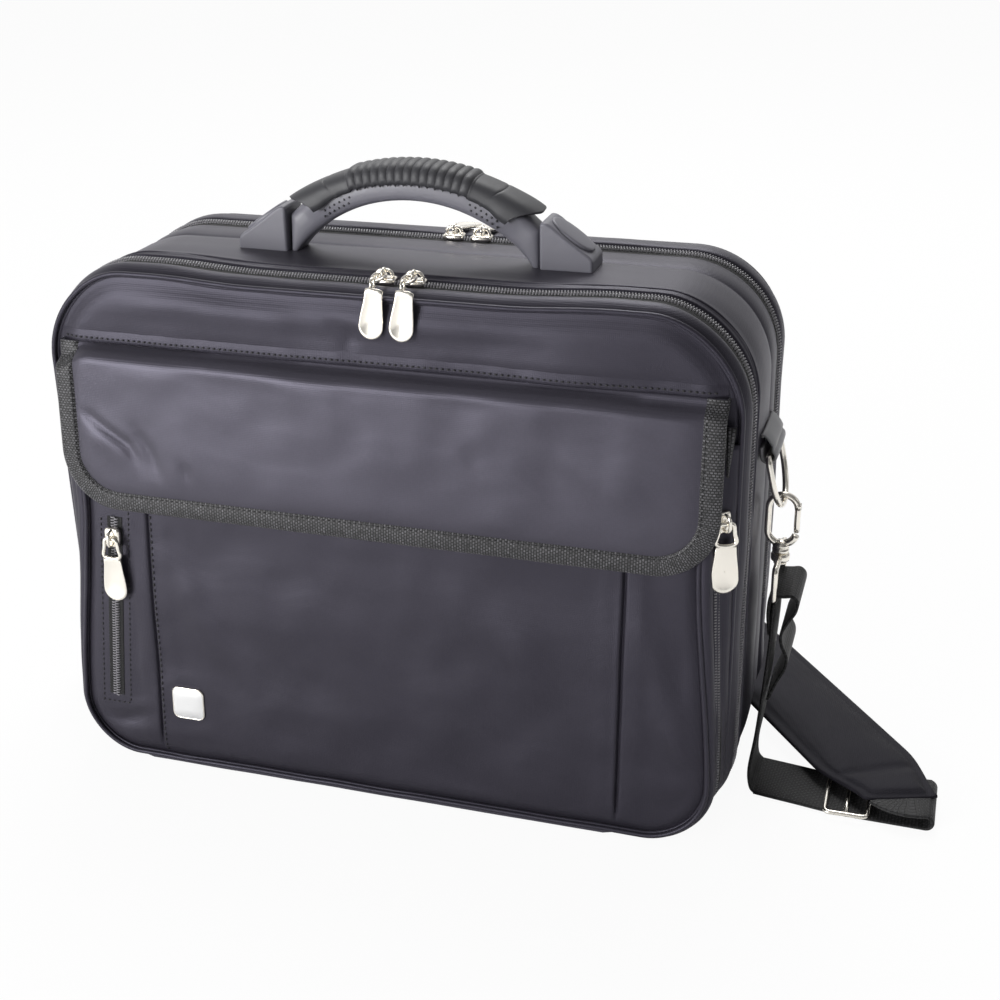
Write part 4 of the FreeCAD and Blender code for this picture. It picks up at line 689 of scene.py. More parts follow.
def stations(outline, y, inset, pitch, start):
    """Evenly spaced points along a row, each with its direction and its outward normal."""
    path = [Vector(p) for p in row(y, inset, outline)]
    normals = [Vector((p[2], 0, p[3])) for p in outline]
    result = []
    for i, share in walk(path, pitch, start):
        along = (path[i + 1] - path[i]).normalized()
        out = normals[i].lerp(normals[i + 1], share).normalized()
        result.append((path[i].lerp(path[i + 1], share), along, out))
    return result


def chain(name, outline, plane, side, start, body):
    """One half of a coil chain: a rounded loop at each pitch, leaning over the middle."""
    points, faces = [], []
    across = Vector((0, side, 0))
    section = [
        (-0.55, 2.9, 0.1), (-0.5, 2.4, 0.9), (-0.45, 1.2, 1.25), (-0.35, 0.1, 1.0), (-0.3, -0.35, 0.35),
    ]
    for centre, along, out in stations(outline, plane, -0.1, PITCH, start):
        base = len(points)
        for wide, reach, rise in section:
            for sign in (-1, 1):
                corner = centre + along * (sign * wide * 0.85) + across * reach + out * (rise - 0.5)
                points.append(tuple(corner))
            points.append(tuple(centre + across * reach + out * (rise - 0.1)))
        for k in range(len(section) - 1):
            a, b = base + 3 * k, base + 3 * k + 3
            faces += [(a, b, b + 2, a + 2), (a + 2, b + 2, b + 1, a + 1)]
        faces += [(base, base + 2, base + 1), (a + 3, a + 4, a + 5)]
    # The loops take the coil finish, whose pale grey is a painted highlight.
    piece(name, points, faces, PALE_PAINTED_COIL, body)


def zip_half(name, outline, plane, side, body, node, start, closed=True):
    """The tape of one half with its edge, and its chain."""
    depths = (0.2, 1.0, 3.2, 5.0, 5.9, 6.2)
    insets = (1.3, 1.2, 1.1, 1.0, 1.2, 2.6)
    rows = [row(plane + side * d, i, outline, 0.2) for d, i in zip(depths, insets)]
    loft(name + "_cloth", rows, TAPE, body, node, closed=closed, flip=side < 0, wall=0.7)
    chain(name + "_chain", outline, plane, side, start, body)


zip_half("front_tape_case", OUTLINE, FRONT_ZIP_Y, 1, "case", "front_zip_tape_case", 0.0)
zip_half("front_tape_cover", OUTLINE, FRONT_ZIP_Y, -1, "front_cover", "front_zip_tape_cover", PITCH / 2)
zip_half("rear_tape_case", OVER_FOLD, REAR_ZIP_Y, -1, "case", "rear_zip_tape_case", 0.0, closed=False)
zip_half(
    "rear_tape_cover", OVER_FOLD, REAR_ZIP_Y, 1, "rear_cover", "rear_zip_tape_cover", PITCH / 2, closed=False,
)
print("zips made")

# %% [markdown]
# The front pocket is a slanted panel with a gusset on three sides: shallow at its mouth and deep
# at the ground. The panel is cut narrower towards the mouth, so the gusset turns to the front
# there. Next to the panel the gusset is rolled over a cord, and the side zip lies beside the roll.
# Cloth that carries a zip or a badge lies flat; elsewhere slack cloth falls in soft folds.

# %% Front pocket
POCKET_HALF, POCKET_TOP, FACE_Y = 196.0, 235.0, -66.2
POCKET_SHAPE = (5.0, POCKET_TOP, 195.0, 0, 34.8)
SMALL_ZIP_X, SMALL_ZIP_LOW, SMALL_ZIP_LONG = -166.0, 41.0, 116.0
BADGE_X, BADGE_Z, SEAM_X = -122.0, 42.0, 141.0
POCKET_FOOT_Y, POCKET_LEAN = -92.5, 0.07447
POCKET_CREASES = [
    ([(-132, 150), (-110, 100), (-70, 50)], 10, 1.6), ([(30, 150), (80, 110), (118, 60)], 12, 1.4),
    ([(-184, 38), (-172, 33), (-154, 35)], 3.0, 1.9), ([(-184, 28), (-166, 25), (-148, 30)], 4, -1.6),
    ([(150, 140), (166, 90), (180, 60)], 8, 1.5), ([(-150, 128), (-147, 90), (-150, 55)], 3, 0.9),
    ([(162, 78), (176, 58), (186, 52)], 5, 1.5), ([(148, 40), (168, 34), (184, 40)], 7, 1.1),
]


def slope_y(z):
    """The depth of the pocket's outer face at a height."""
    return POCKET_FOOT_Y + POCKET_LEAN * z


def pocket_half(z):
    """Half the panel's width at a height."""
    return 191.0 - 11.0 * ease(30, 175, z)


def small_zip_x(z):
    """The small zip leans a little: its top is nearer the bag's middle."""
    return SMALL_ZIP_X + 0.07 * (z - 98)


def flat_cloth(x, z):
    """1 where the cloth is held flat by the small zip or the badge, and 0 away from them."""
    past_zip = max(0.0, SMALL_ZIP_LOW - 3 - z, z - SMALL_ZIP_LOW - SMALL_ZIP_LONG)
    by_zip = 1 - ease(9, 15, math.hypot(x - small_zip_x(z), past_zip))
    return max(by_zip, 1 - ease(14, 22, math.hypot(x - BADGE_X, z - BADGE_Z)))


def pocket_depth(x, z):
    """The pocket panel: sunk at its edge, pulled in at its seams, soft folds between them."""
    wide = POCKET_SHAPE[2] / pocket_half(z)
    room = edge_room(x * wide, z, POCKET_SHAPE[:1] + (POCKET_TOP + 40,) + POCKET_SHAPE[2:])
    rise = soft(x, 3, z, 44, 1.5) + soft(x, 6, z, 19, 0.5)
    rise += creases(x, z, POCKET_CREASES)
    rise *= 1 - flat_cloth(x, z)
    past_seam = abs(x) - SEAM_X
    rise += 0.6 * math.exp(-((past_seam + 2.2) / 1.5) ** 2) - 1.9 * math.exp(-(past_seam / 0.9) ** 2)
    rise += 0.6 * math.exp(-((abs(past_seam) - 8) / 5) ** 2)
    return slope_y(z) + 1.6 - (2.1 * ease(0, 7, room) + (0.2 + rise) * ease(1, 16, room))


def pocket_columns(reach):
    """Places across a row of the panel, close together beside its two sewn seams."""
    near = (-3.2, -2.3, -1.6, -1.1, -0.7, -0.3, 0.0, 0.3, 0.7, 1.2, 2.0, 3.4)
    right = [3.2 * i for i in range(1, 43)] + [SEAM_X + d for d in near]
    right += [150 + (reach - 150) * i / 16 for i in range(17)]
    return [-x for x in reversed(right)] + [0.0] + right


POCKET_U = [p for p in FROM_TOP if p[1] < POCKET_TOP]
POCKET_U = [(HALF, POCKET_TOP, 1, 0)] + POCKET_U + [(-HALF, POCKET_TOP, -1, 0)]


def gusset_point(x, z, nx, nz, share, proud):
    """A point of the gusset: share 0 is at the cover's face and 1 at the panel's edge."""
    base_x, base_z = x - 4 * nx, max(z - 4 * nz, 2.9)
    drawn = 1 - share * (1 - pocket_half(base_z) / POCKET_HALF)
    depth = FACE_Y + (slope_y(base_z) - FACE_Y) * share
    return (base_x * drawn + 0.8 * proud * nx, depth - 0.6 * proud * abs(nx), max(base_z + proud * nz, 1.2))


def gusset_row(share, proud):
    """A row round the pocket, proud of the gusset's plane by so much and by a slow wander."""
    return [gusset_point(*p, share, proud + soft(p[0], share * 40, p[1], 26, 0.5)) for p in POCKET_U]


GUSSET = [
    (0.0, -1.4), (0.06, 0.2), (0.14, 0.9), (0.22, 0.9), (0.3, 0.1), (0.34, -0.2), (0.5, 0.0), (0.62, -0.2),
    (0.66, -0.6), (0.7, 1.0), (0.75, 2.0), (0.82, 2.5), (0.88, 2.1), (0.92, 0.9), (0.94, -1.4), (1.0, -2.0),
]
loft("front_pocket_gusset", [gusset_row(*g) for g in GUSSET], SHELL, "front_cover", closed=False, wall=1.6)
pocket_panel = loft(
    "front_pocket_panel", panel_rows(POCKET_SHAPE, pocket_depth, pocket_columns, half=pocket_half), SHELL,
    "front_cover", "front_pocket", closed=False, wall=1.8,
)
tube("pocket_edge_piping", gusset_row(1.02, 0.6), 1.4, SHELL, "front_cover", "pocket_piping", sides=8)
mouth_end = [
    [
        (191.4 + (0.4 + 3.0 * share) * s, -72.2 + 1.0 * share - 0.9 * (1 - s * s), 218 + 27 * share)
        for s in (-1, -0.6, 0, 0.6, 1)
    ]
    for share in (0.0, 0.2, 0.4, 0.6, 0.8, 1.0)
]
loft("pocket_mouth_end", mouth_end, BINDING, "front_cover", closed=False, wall=1.2)
print(pocket_panel.name, len(pocket_panel.data.polygons))

# %% [markdown]
# The flap hangs from a stitched fold and covers the pocket's mouth. It is nylon over foam: it
# leaves the seam in a dark tuck, which is deeper at the right, swells out over the pocket's mouth
# and thins again at its bound edge. Slack cloth at its left end falls in a few diagonal creases.
# Its top strip is sewn to the cover. The cloth and its binding are baked in place and ride on no body of
# their own.

# %% Flap
FLAP_BACK, FLAP_THICK = 1.3, 2.4
FLAP_SHAPE = (FLAP_LOW, FLAP_SEAM, FLAP_HALF, 0, FLAP_ROUND)
SWELL_SHAPE = (173.0, 275.0, 179.5, 20.0, 26.0)
FLAP_CREASES = [
    ([(-178, 224), (-160, 212), (-147, 204), (-139, 192)], 3.0, -1.7),
    ([(-176, 212), (-158, 202), (-148, 190)], 7.0, 1.0), ([(-142, 214), (-134, 202), (-127, 184)], 3.4, -1.3),
    ([(-114, 197), (-109, 186)], 3.2, -1.1), ([(54, 226), (62, 212)], 5, -0.5),
    ([(100, 226), (130, 214), (150, 190)], 9, 0.9),
]


def flap_outline(inset):
    """The flap's edge as seen from the front, from its top right corner down and round."""
    half, low, corner = FLAP_HALF - inset, FLAP_LOW + inset, FLAP_ROUND - inset
    right = [(half, FLAP_SEAM - (FLAP_SEAM - low - corner) * i / 36) for i in range(36)]
    arc = [
        (half - corner + corner * math.cos(a), low + corner - corner * math.sin(a))
        for a in (math.pi / 2 * i / 16 for i in range(17))
    ]
    flat = [(half - corner - (2 * (half - corner)) * i / 90, low) for i in range(1, 46)]
    lower = right + arc + flat[:-1]
    return lower + [(0.0, low)] + [(-x, z) for x, z in reversed(lower)]


def tuck_height(x):
    """How far below the seam the flap starts to swell."""
    return 1.0 + 1.6 * ease(-120, -20, x) + 2.0 * ease(110, 180, x) + 9.0 * (1 - ease(-188, -164, x)) ** 2


def flap_base(x, z):
    """The depth of the flap's front where it isn't swollen: the tuck and then the slope."""
    below = FLAP_SEAM - z
    tuck = -68.8 - 1.4 * ease(0.5, 3.0, below)
    share = min(1.0, max(0.0, (below - tuck_height(x)) / 5))
    return tuck + (slope_y(z) - FLAP_BACK - FLAP_THICK - tuck) * (1 - (1 - share) ** 2) ** 0.62


def flap_depth(x, z):
    """The depth of the flap's front with its swelling, waves and creases."""
    room = edge_room(x, z, SWELL_SHAPE)
    past_tuck = FLAP_SEAM - z - tuck_height(x)
    rise = 2.4 * (1 - math.exp(-max(0.0, room) / 4.5)) * ease(0, 8, past_tuck)
    waves = soft(x, 13, z, 48, 1.5) + soft(x, 19, z, 20, 0.5)
    waves += creases(x, z, FLAP_CREASES)
    return flap_base(x, z) - rise - waves * ease(0, 9, room) * ease(2, 14, past_tuck)


flap_rows = panel_rows(FLAP_SHAPE, flap_depth, columns=150, step_mm=1.2)
# The flap takes the lighter nylon, a painted highlight on the shell's cloth.
flap = loft("flap_cloth", flap_rows, LIGHTER_PAINTED_NYLON, None, "flap_panel", closed=False, wall=2.0)
FOLD_START, FOLD_END = (0, -0.07, 0.2588), (0, -0.07, 0.2450)
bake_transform(flap)
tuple(FOLD_START)
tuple(FOLD_END)
fold_rows = []
for z_lift, proud in (
    (8.0, -0.6), (6.0, 0.1), (4.0, 0.5), (2.0, 0.75), (0.6, 0.7), (-0.2, 0.3), (-0.5, -0.6), (-0.2, -1.6),
):
    line = []
    for x in range(-189, 190, 3):
        z = FLAP_SEAM + z_lift
        line.append((x, front_depth(x, FLAP_SEAM + 6) - proud + soft(x, 0, z, 12, 0.25), z))
    fold_rows.append(line)
loft("flap_seam_fold", fold_rows, SHELL, "front_cover", closed=False, flip=True)
print(flap.name, len(flap.data.polygons))

# %% [markdown]
# A woven binding folds over the flap's free edge and is sewn down some 10 mm inside it. Its
# section is a flat U that follows the edge. The ribs of the tape run across it, which the UV map
# gives.

# %% Binding
BIND_WIDE = 11.3


def binding_rows():
    """The U-shaped section at each point of the edge, as rows along the edge."""
    section = [
        (BIND_WIDE, 0.25), (BIND_WIDE - 0.6, 0.85), (8.6, 1.15), (5.6, 1.3), (3.0, 1.15),
        (1.0, 0.8), (-0.1, 0.1), (-0.5, -1.0), (-0.3, -2.3), (0.8, -3.2),
        (3.0, -3.4), (8.0, -3.3), (BIND_WIDE - 0.6, -3.2), (BIND_WIDE, -2.7),
    ]
    rows = []
    for inset, proud in section:
        points = []
        for x, z in flap_outline(inset):
            points.append((x, flap_base(x, z) - proud + soft(x, 7, z, 30, 0.25), z))
        rows.append(points)
    return rows


binding = loft("flap_edge_binding", binding_rows(), BINDING, None, "flap_binding", closed=False, flip=True)
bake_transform(binding)
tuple(FOLD_START)
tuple(FOLD_END)

# %% [markdown]
# Stitches are short raised bars of thread with gaps between them. One function lays them along a
# line of points on any surface, which is enough for the seam above the flap, the binding and the
# pocket's sewn lines.

# %% Stitching
OUT = Vector((0, -1, 0))
SEAM_STITCH_Z = FLAP_SEAM + 2.6


def stitch_line(name, path, outward, body, length, gap, radius):
    """A row of raised stitches along a path, lifted towards an outward direction."""
    path = [Vector(p) for p in path]
    points, faces = [], []
    lift = outward * radius
    for i, share in walk(path, length + gap):
        a, b = path[i], path[i + 1]
        centre = a.lerp(b, share)
        along = (b - a).normalized() * (length / 2)
        side = along.cross(outward).normalized() * radius
        base = len(points)
        points += [tuple(centre + p) for p in (
            -along, -along * 0.6 + side + lift * 0.5, -along * 0.6 - side + lift * 0.5,
            along * 0.6 + side + lift * 0.5, along * 0.6 - side + lift * 0.5, along,
            -along * 0.5 + lift * 1.6, along * 0.5 + lift * 1.6,
        )]
        for face in ((0, 1, 6), (0, 6, 2), (1, 3, 7, 6), (6, 7, 4, 2), (3, 5, 7), (7, 5, 4)):
            faces.append(tuple(base + f for f in face))
    piece(name, points, faces, THREAD, body)


seam = [(x, front_depth(x, FLAP_SEAM + 6) - 0.85, SEAM_STITCH_Z) for x in range(-186, 187, 3)]
stitch_line("flap_seam_stitches", seam, OUT, "front_cover", length=1.9, gap=1.4, radius=0.45)
inner = [(x, flap_base(x, z) - 1.35, z) for x, z in flap_outline(BIND_WIDE - 1.6) if z < FLAP_SEAM - 9]
stitch_line("binding_stitches", inner, OUT, "flap", length=2.2, gap=1.0, radius=0.4)
line = [(2.4 - SEAM_X, pocket_depth(2.4 - SEAM_X, z) - 0.2, z) for z in range(8, 170, 3)]
stitch_line("pocket_seam_stitches", line, OUT, "front_cover", length=2.2, gap=1.6, radius=0.4)
zip_box = [(small_zip_x(z) + 9, z) for z in range(160, 36, -3)]
zip_box += [(small_zip_x(36) + dx, 36) for dx in (9, 5, 0, -5, -9)]
zip_box += [(small_zip_x(z) - 9, z) for z in range(37, 160, 3)]
zip_box = [(x, pocket_depth(x, z) - 0.25, z) for x, z in zip_box]
stitch_line("small_zip_stitches", zip_box, OUT, "front_cover", length=2.0, gap=1.4, radius=0.35)
print("stitches made")

# %% [markdown]
# The handle. Its core is a stiff moulding that rises from the brackets and arches over. It is
# lofted: at each station the section is a rounded rectangle between the underside and the top of
# the arch. The grip is a soft saddle over the arch with fifteen ribs and flared, pointed ends.

# %% Handle core
HANDLE_Y, SECTION_SIDES, SECTION_POWER = 4.0, 20, 0.55


def signed_power(value, power):
    """A power that keeps the sign; under 1 it makes a circle's sine and cosine squarer."""
    return math.copysign(abs(value) ** power, value)


def rounded_section(centre, across, up, half_wide, half_tall):
    """Points of a rounded rectangle round a centre."""
    points = []
    for s in range(SECTION_SIDES):
        a = 2 * math.pi * (s + 0.5) / SECTION_SIDES
        px = signed_power(math.cos(a), SECTION_POWER) * half_wide
        py = signed_power(math.sin(a), SECTION_POWER) * half_tall
        points.append(tuple(centre + across * px + up * py))
    return points


def arch_station(t):
    """Outer and inner points of the arch; t runs from -1 at the left base to 1 at the right."""
    side, reach = math.copysign(1, t), abs(t)
    angle = math.radians(50.4) * reach
    under = Vector((side * 90 * math.sin(angle), HANDLE_Y, 243 + 90 * math.cos(angle)))
    crest, knee, foot = Vector((64.6, 0, 329.0)), Vector((73.5, 0, 321.5)), Vector((73.6, 0, 300.4))
    if reach < 0.62:
        angle = math.radians(30.9) * reach / 0.62
        outer = Vector((124.3 * math.sin(angle), 0, 222 + 124.3 * math.cos(angle)))
    elif reach < 0.82:
        outer = crest.lerp(knee, (reach - 0.62) / 0.2)
    else:
        outer = knee.lerp(foot, (reach - 0.82) / 0.18)
    return Vector((side * outer.x, HANDLE_Y, outer.z)), under


core_rows = []
for number in range(-60, 61):
    outer, under = arch_station(number / 60)
    up = (outer - under).normalized()
    centre = (outer + under) / 2
    wide = 9.0 + 2.2 * (1 - ease(0.5, 0.75, abs(number) / 60))
    core_rows.append(rounded_section(centre, Vector((0, 1, 0)), up, wide, (outer - under).length / 2))
loft("handle_core", core_rows, PLASTIC, "handle", "handle_arch", capped=True, flip=True)

# %% Handle grip
GRIP_CENTRE, GRIP_RADIUS, RIB_PITCH = 223.0, 129.0, math.radians(2.18)


def grip_section(angle):
    """The saddle's open section at an angle from the top: ribs in the middle, wings at the ends."""
    reach = abs(math.degrees(angle))
    inside = 1 - ease(16.2, 17.0, reach)
    rib = inside * (2.0 * abs(math.cos(math.pi * angle / RIB_PITCH)) ** 0.5 - 0.7)
    wing = ease(18, 34, reach)
    radius = GRIP_RADIUS + rib - 0.3 * (1 - inside) + 0.8 * wing ** 2
    half = 11.7 + rib * 0.5 + 1.1 * wing
    drop = 9.5 + 3.6 * wing
    points = []
    for s in range(33):
        a = math.pi * s / 32
        low = abs(s - 16) / 16
        width = half * signed_power(math.cos(a), 0.62)
        rise = -drop + drop * abs(math.sin(a)) ** 0.55
        rise -= 0.5 * math.exp(-((reach - 24 + 3.5 * low ** 2) / 0.35) ** 2)
        r = radius + rise
        points.append((r * math.sin(angle), HANDLE_Y + width, GRIP_CENTRE + r * math.cos(angle)))
    return points


grip_rows = []
SPREAD = math.radians(34.6)
for number in range(-200, 201):
    angle = SPREAD * number / 200
    points = grip_section(angle)
    skew = ease(0.62, 1.0, abs(number) / 200)
    lean = math.copysign(math.radians(6.0) * skew, angle)
    turned = []
    for s, (x, y, z) in enumerate(points):
        low = abs(s - 16) / 16
        shift = -lean * low ** 1.5
        c, d, dz = math.cos(shift), math.sin(shift), z - GRIP_CENTRE
        turned.append((x * c + dz * d, y, GRIP_CENTRE + dz * c - x * d))
    grip_rows.append(turned)
loft("handle_grip_cover", grip_rows, RUBBER, "handle", "handle_grip", closed=False, flip=True, wall=1.6)


def studs(name, places, radius, facing, body):
    """Small round studs of rubber: (x, y, z) places on a face that looks towards facing."""
    points, faces = [], []
    for x, y, z in places:
        start = len(points)
        for share, lift in ((1.0, 0.0), (0.8, 0.4), (0.4, 0.6)):
            for k in range(8):
                a, r = math.pi * k / 4, radius * share
                points.append((x + r * math.cos(a), y + facing * lift, z + r * math.sin(a)))
        for ring in (0, 8):
            for k in range(8):
                n = (k + 1) % 8
                faces.append((start + ring + k, start + ring + n, start + ring + 8 + n, start + ring + 8 + k))
        faces.append(tuple(range(start + 16, start + 24)))
    piece(name, points, faces, RUBBER, body)


for face_name, facing in (("front", -1), ("back", 1)):
    places = []
    for sign in (-1, 1):
        for step in range(6):
            for tier in (0, 1):
                a = sign * math.radians(17.5 + 1.7 * step + 0.8 * tier)
                r = 116.5 - 3.0 * tier - 0.4 * step
                places.append((r * math.sin(a), HANDLE_Y + facing * 11.0, GRIP_CENTRE + r * math.cos(a)))
    studs("grip_studs_" + face_name, places, 0.75, facing, "handle")
print("handle made")

# %% [markdown]
# Each bracket is a wedge-shaped moulding with a straight inner face, a sloping top and soft
# edges. It is a side outline pushed across the bag, with a bevel along its edges and normals that
# keep the flat faces flat.
# An oval cap sits in the sloping top.

# %% Handle brackets


def prism(name, outline, low, high, finish, body, *nodes, bevel, segments):
    """An outline in x and z pushed from one depth to another, with rounded edges."""
    count = len(outline)
    points = [(x, low, z) for x, z in outline] + [(x, high, z) for x, z in outline]
    faces = [tuple(range(count)), tuple(reversed(range(count, 2 * count)))]
    faces += [(i, i + count, (i + 1) % count + count, (i + 1) % count) for i in range(count)]
    item = piece(name, points, faces, finish, body, *nodes)
    edge = item.modifiers.new("edges", "BEVEL")
    edge.width, edge.segments, edge.limit_method = bevel * MM, segments, "ANGLE"
    edge.angle_limit = math.radians(30)
    normals = item.modifiers.new("normals", "WEIGHTED_NORMAL")
    normals.keep_sharp = False


WEDGE = [
    (74.2, 300.0), (74.2, 326.5), (77.5, 327.0), (81.0, 325.0), (88.0, 319.5), (96.0, 313.6),
    (101.5, 310.0), (104.0, 307.5), (104.3, 300.0),
]
for side_name, side in (("left", -1), ("right", 1)):
    outline = [(side * x, z) for x, z in (WEDGE if side > 0 else reversed(WEDGE))]
    prism(
        "bracket_%s" % side_name, outline, HANDLE_Y - 12, HANDLE_Y + 12, PLASTIC, "case",
        "handle_bracket_" + side_name, bevel=2.6, segments=5,
    )
    cap = []
    slope = math.atan2(326.0 - 309.0, 103.0 - 78.5)
    for radius_share, lift in ((1.0, -0.8), (1.0, 0.5), (0.95, 0.95), (0.85, 1.1), (0.4, 1.2), (0.01, 1.25)):
        ring = []
        for s in range(32):
            a = 2 * math.pi * s / 32
            u = 14.2 * radius_share * signed_power(math.cos(a), 0.9)
            v = 9.4 * radius_share * signed_power(math.sin(a), 0.8)
            x = 90.4 + u * math.cos(slope) + lift * math.sin(slope)
            z = 318.4 - u * math.sin(slope) + lift * math.cos(slope)
            ring.append((side * x, HANDLE_Y + v, z))
        cap.append(ring)
    loft("bracket_cap_%s" % side_name, cap, PLASTIC, "case", flip=side > 0)
print("brackets made")

# %% [markdown]
# Strap hardware. The side loop is a folded tab of coated nylon round the ring's bar. The ring,
# the hook's claw and the strap eye are bent wire, so each is a tube along its middle line; the
# swivel is a small turned post with a collar.

# %% Side loops, rings, hooks and eyes
LOOP_X, RING_Y, RING_TOP, LEAN = 205.2, 2.0, 208.0, math.radians(13)
BAR_X, HOOK_TOP, HOOK_LOW = 212.94, 178.48, 148.28
COLLAR_LOW, EYE_TOP, EYE_MIDDLE, EYE_BAR = 143.28, 141.18, 131.48, 121.78


def arc_points(cy, cz, radius, start, end, steps):
    """Points of an arc in two coordinates, angles in degrees."""
    return [
        (cy + radius * math.cos(math.radians(start + (end - start) * i / steps)),
         cz + radius * math.sin(math.radians(start + (end - start) * i / steps)))
        for i in range(steps + 1)
    ]


def rounded_box(half_wide, half_tall, corner, steps):
    """A rounded rectangle as a closed line, clockwise from its upper right corner."""
    x, y = half_wide - corner, half_tall - corner
    return (
        arc_points(x, y, corner, 90, 0, steps) + arc_points(x, -y, corner, 0, -90, steps)
        + arc_points(-x, -y, corner, -90, -180, steps) + arc_points(-x, y, corner, 180, 90, steps)
    )


def turned_post(name, centre, profile, body):
    """A lathe-turned form: (radius, height) rows round a vertical line."""
    x, y, z = centre
    turns = [2 * math.pi * s / 28 for s in range(28)]
    rows = [[(x + r * math.cos(a), y + r * math.sin(a), z + h) for a in turns] for r, h in profile]
    loft(name, rows, NICKEL, body, capped=True)


def side_loop(name, side):
    """The folded tab: down from its sewn end, round the bar and back up against the band."""
    line = [(200.3, 219.5), (201.0, 220.8), (203.2, 220.0), (205.8, 217.2), (207.8, 213.8)]
    for turn in (55, 25, -10, -45, -80, -115, -150):
        a = math.radians(turn)
        line.append((LOOP_X + 4.4 * math.cos(a), RING_TOP + 4.4 * math.sin(a)))
    line += [(200.6, 209.5), (200.3, 213.0)]
    path = spline([(x, 0, z) for x, z in line], 4)
    rows = []
    for dy, sink in (
        (-18.2, 0.5), (-17.6, 0.0), (-9, -0.25), (0, -0.3), (9, -0.25), (17.6, 0.0), (18.2, 0.5),
    ):
        rows.append([(side * (x - sink), RING_Y + dy, z) for x, _, z in path])
    loft(name, rows, TAB, "case", name, closed=False, flip=side < 0, wall=1.6)


def ring_path():
    """The ring's middle line, a bar on top and a wide bend below, as (y, z)."""
    half, drop = 21.2, 34.4
    points = arc_points(half - 3, -3, 3, 90, 0, 5)
    points += [(half, -3 - (drop - half - 3) * i / 3) for i in range(1, 3)]
    points += arc_points(0, -drop + half, half, 0, -180, 28)
    points += [(-half, -drop + half + (drop - half - 3) * i / 3) for i in range(1, 3)]
    points += arc_points(-half + 3, -3, 3, 180, 90, 5)
    return points


def hook_parts(name, side):
    """The claw, its collar and swivel post, and the sprung gate."""
    body = "snap_hook_" + name
    x0 = side * BAR_X
    claw = [(8.1, 174.0)] + arc_points(0, HOOK_TOP - 8.1, 8.1, 0, 180, 18)
    claw += [(-8.1, 163.0)] + arc_points(0, HOOK_LOW + 8.1, 8.1, 180, 345, 18)
    path = [(x0 + side * dx, RING_Y, z) for dx, z in claw]
    radii = [1.9 + 0.3 * ease(0.45, 0.9, i / len(path)) for i in range(len(path))]
    tube("hook_claw_" + name, path, radii, NICKEL, body, body, sides=14)
    turned_post("hook_collar_" + name, (x0, RING_Y, COLLAR_LOW), [
        (4.2, 0.0), (4.8, 0.6), (4.8, 2.2), (4.3, 2.6), (4.3, 3.4), (4.8, 3.8), (4.7, 5.0), (3.6, 6.2),
        (2.2, 7.2),
    ], body)
    turned_post("hook_post_" + name, (x0, RING_Y, COLLAR_LOW - 7.5), [
        (2.6, 0.0), (3.6, 0.4), (3.6, 1.2), (2.9, 1.6), (2.1, 1.7), (2.1, 7.6),
    ], body)
    gate = [(x0 + side * 8.1, RING_Y, z) for z in (156.4, 160, 165, 170, 173.2)]
    tube(
        "gate_bar_" + name, gate, [1.5, 1.7, 1.7, 1.7, 1.2], NICKEL, "hook_gate_" + name,
        "hook_gate_" + name, sides=14,
    )


def strap_eye(name, side):
    """The strap's metal frame with its boss."""
    line = [(side * BAR_X, RING_Y + y, EYE_MIDDLE + z) for y, z in rounded_box(21.2, 9.7, 2.1, 5)]
    tube("eye_frame_" + name, line, 1.8, NICKEL, "case", "strap_eye_" + name, closed=True, sides=14)
    turned_post("eye_boss_" + name, (side * BAR_X, RING_Y, EYE_TOP - 3.2), [
        (4.4, 0.0), (5.2, 0.6), (5.4, 1.6), (5.4, 3.6), (4.9, 4.6), (3.9, 5.0),
    ], "case")


for name, side in (("left", -1), ("right", 1)):
    side_loop("side_loop_" + name, side)
    ring = []
    for y, z in ring_path():
        ring.append((side * (LOOP_X - z * math.sin(LEAN)), RING_Y + y, RING_TOP + z * math.cos(LEAN)))
    tube("ring_wire_" + name, ring, 1.8, NICKEL, "case", "strap_ring_" + name, closed=True, sides=14)
    hook_parts(name, side)
    strap_eye(name, side)
print("strap hardware made")

# %% [markdown]
# Sliders and pulls. A slider is a small casting: a waisted body over the chain and a bridge that
# the pull's link passes through. Pull plates are flat drops with a raised rim; the side pulls
# have a square slot.

# %% Sliders and pulls
SLIDER_FOOT_Z, BRIDGE_Z, PLATE_THICK = 299.7, 304.85, 1.8
WIRE_LOOP = {"closed": True, "sides": 8}


def place_piece(item, origin, x_axis, y_axis):
    """Puts a piece modelled at the origin, in its own axes, where it belongs, in its mesh."""
    x_axis, y_axis = Vector(x_axis).normalized(), Vector(y_axis).normalized()
    turn = Matrix((x_axis, y_axis, x_axis.cross(y_axis))).transposed().to_4x4()
    item.data.transform(Matrix.Translation(Vector(origin) * MM) @ turn)


def slider_points():
    """Rows of the slider's body from its foot up: (half length, half width, height)."""
    plan = [(-6, 3.2), (-4.5, 4.2), (-2, 4.7), (1, 4.8), (4, 4.7), (5.5, 4.2), (6, 3.4)]
    outline = plan + [(x, -y) for x, y in reversed(plan)]
    rows = []
    for share, height in ((0.97, 0.0), (1.0, 0.4), (1.0, 1.9), (0.93, 2.6), (0.8, 2.95), (0.3, 3.1)):
        rows.append([(x * share, y * share, height) for x, y in outline])
    return rows


def slider(name, origin, x_axis, y_axis):
    """A slider's body and its bridge, put on a zip."""
    body = loft(name + "_body", slider_points(), NICKEL, name, name, capped=True, flip=True)
    place_piece(body, origin, x_axis, y_axis)
    leg = [(2.8, 0, 6.5), (4.4, 0, 4.6), (4.6, 0, 2.4)]
    arch = [(-x, y, z) for x, y, z in reversed(leg)] + [(0, 0, 6.9)] + leg
    bridge = tube(name + "_bridge", spline(arch, 5), 0.95, NICKEL, name)
    place_piece(bridge, origin, x_axis, y_axis)


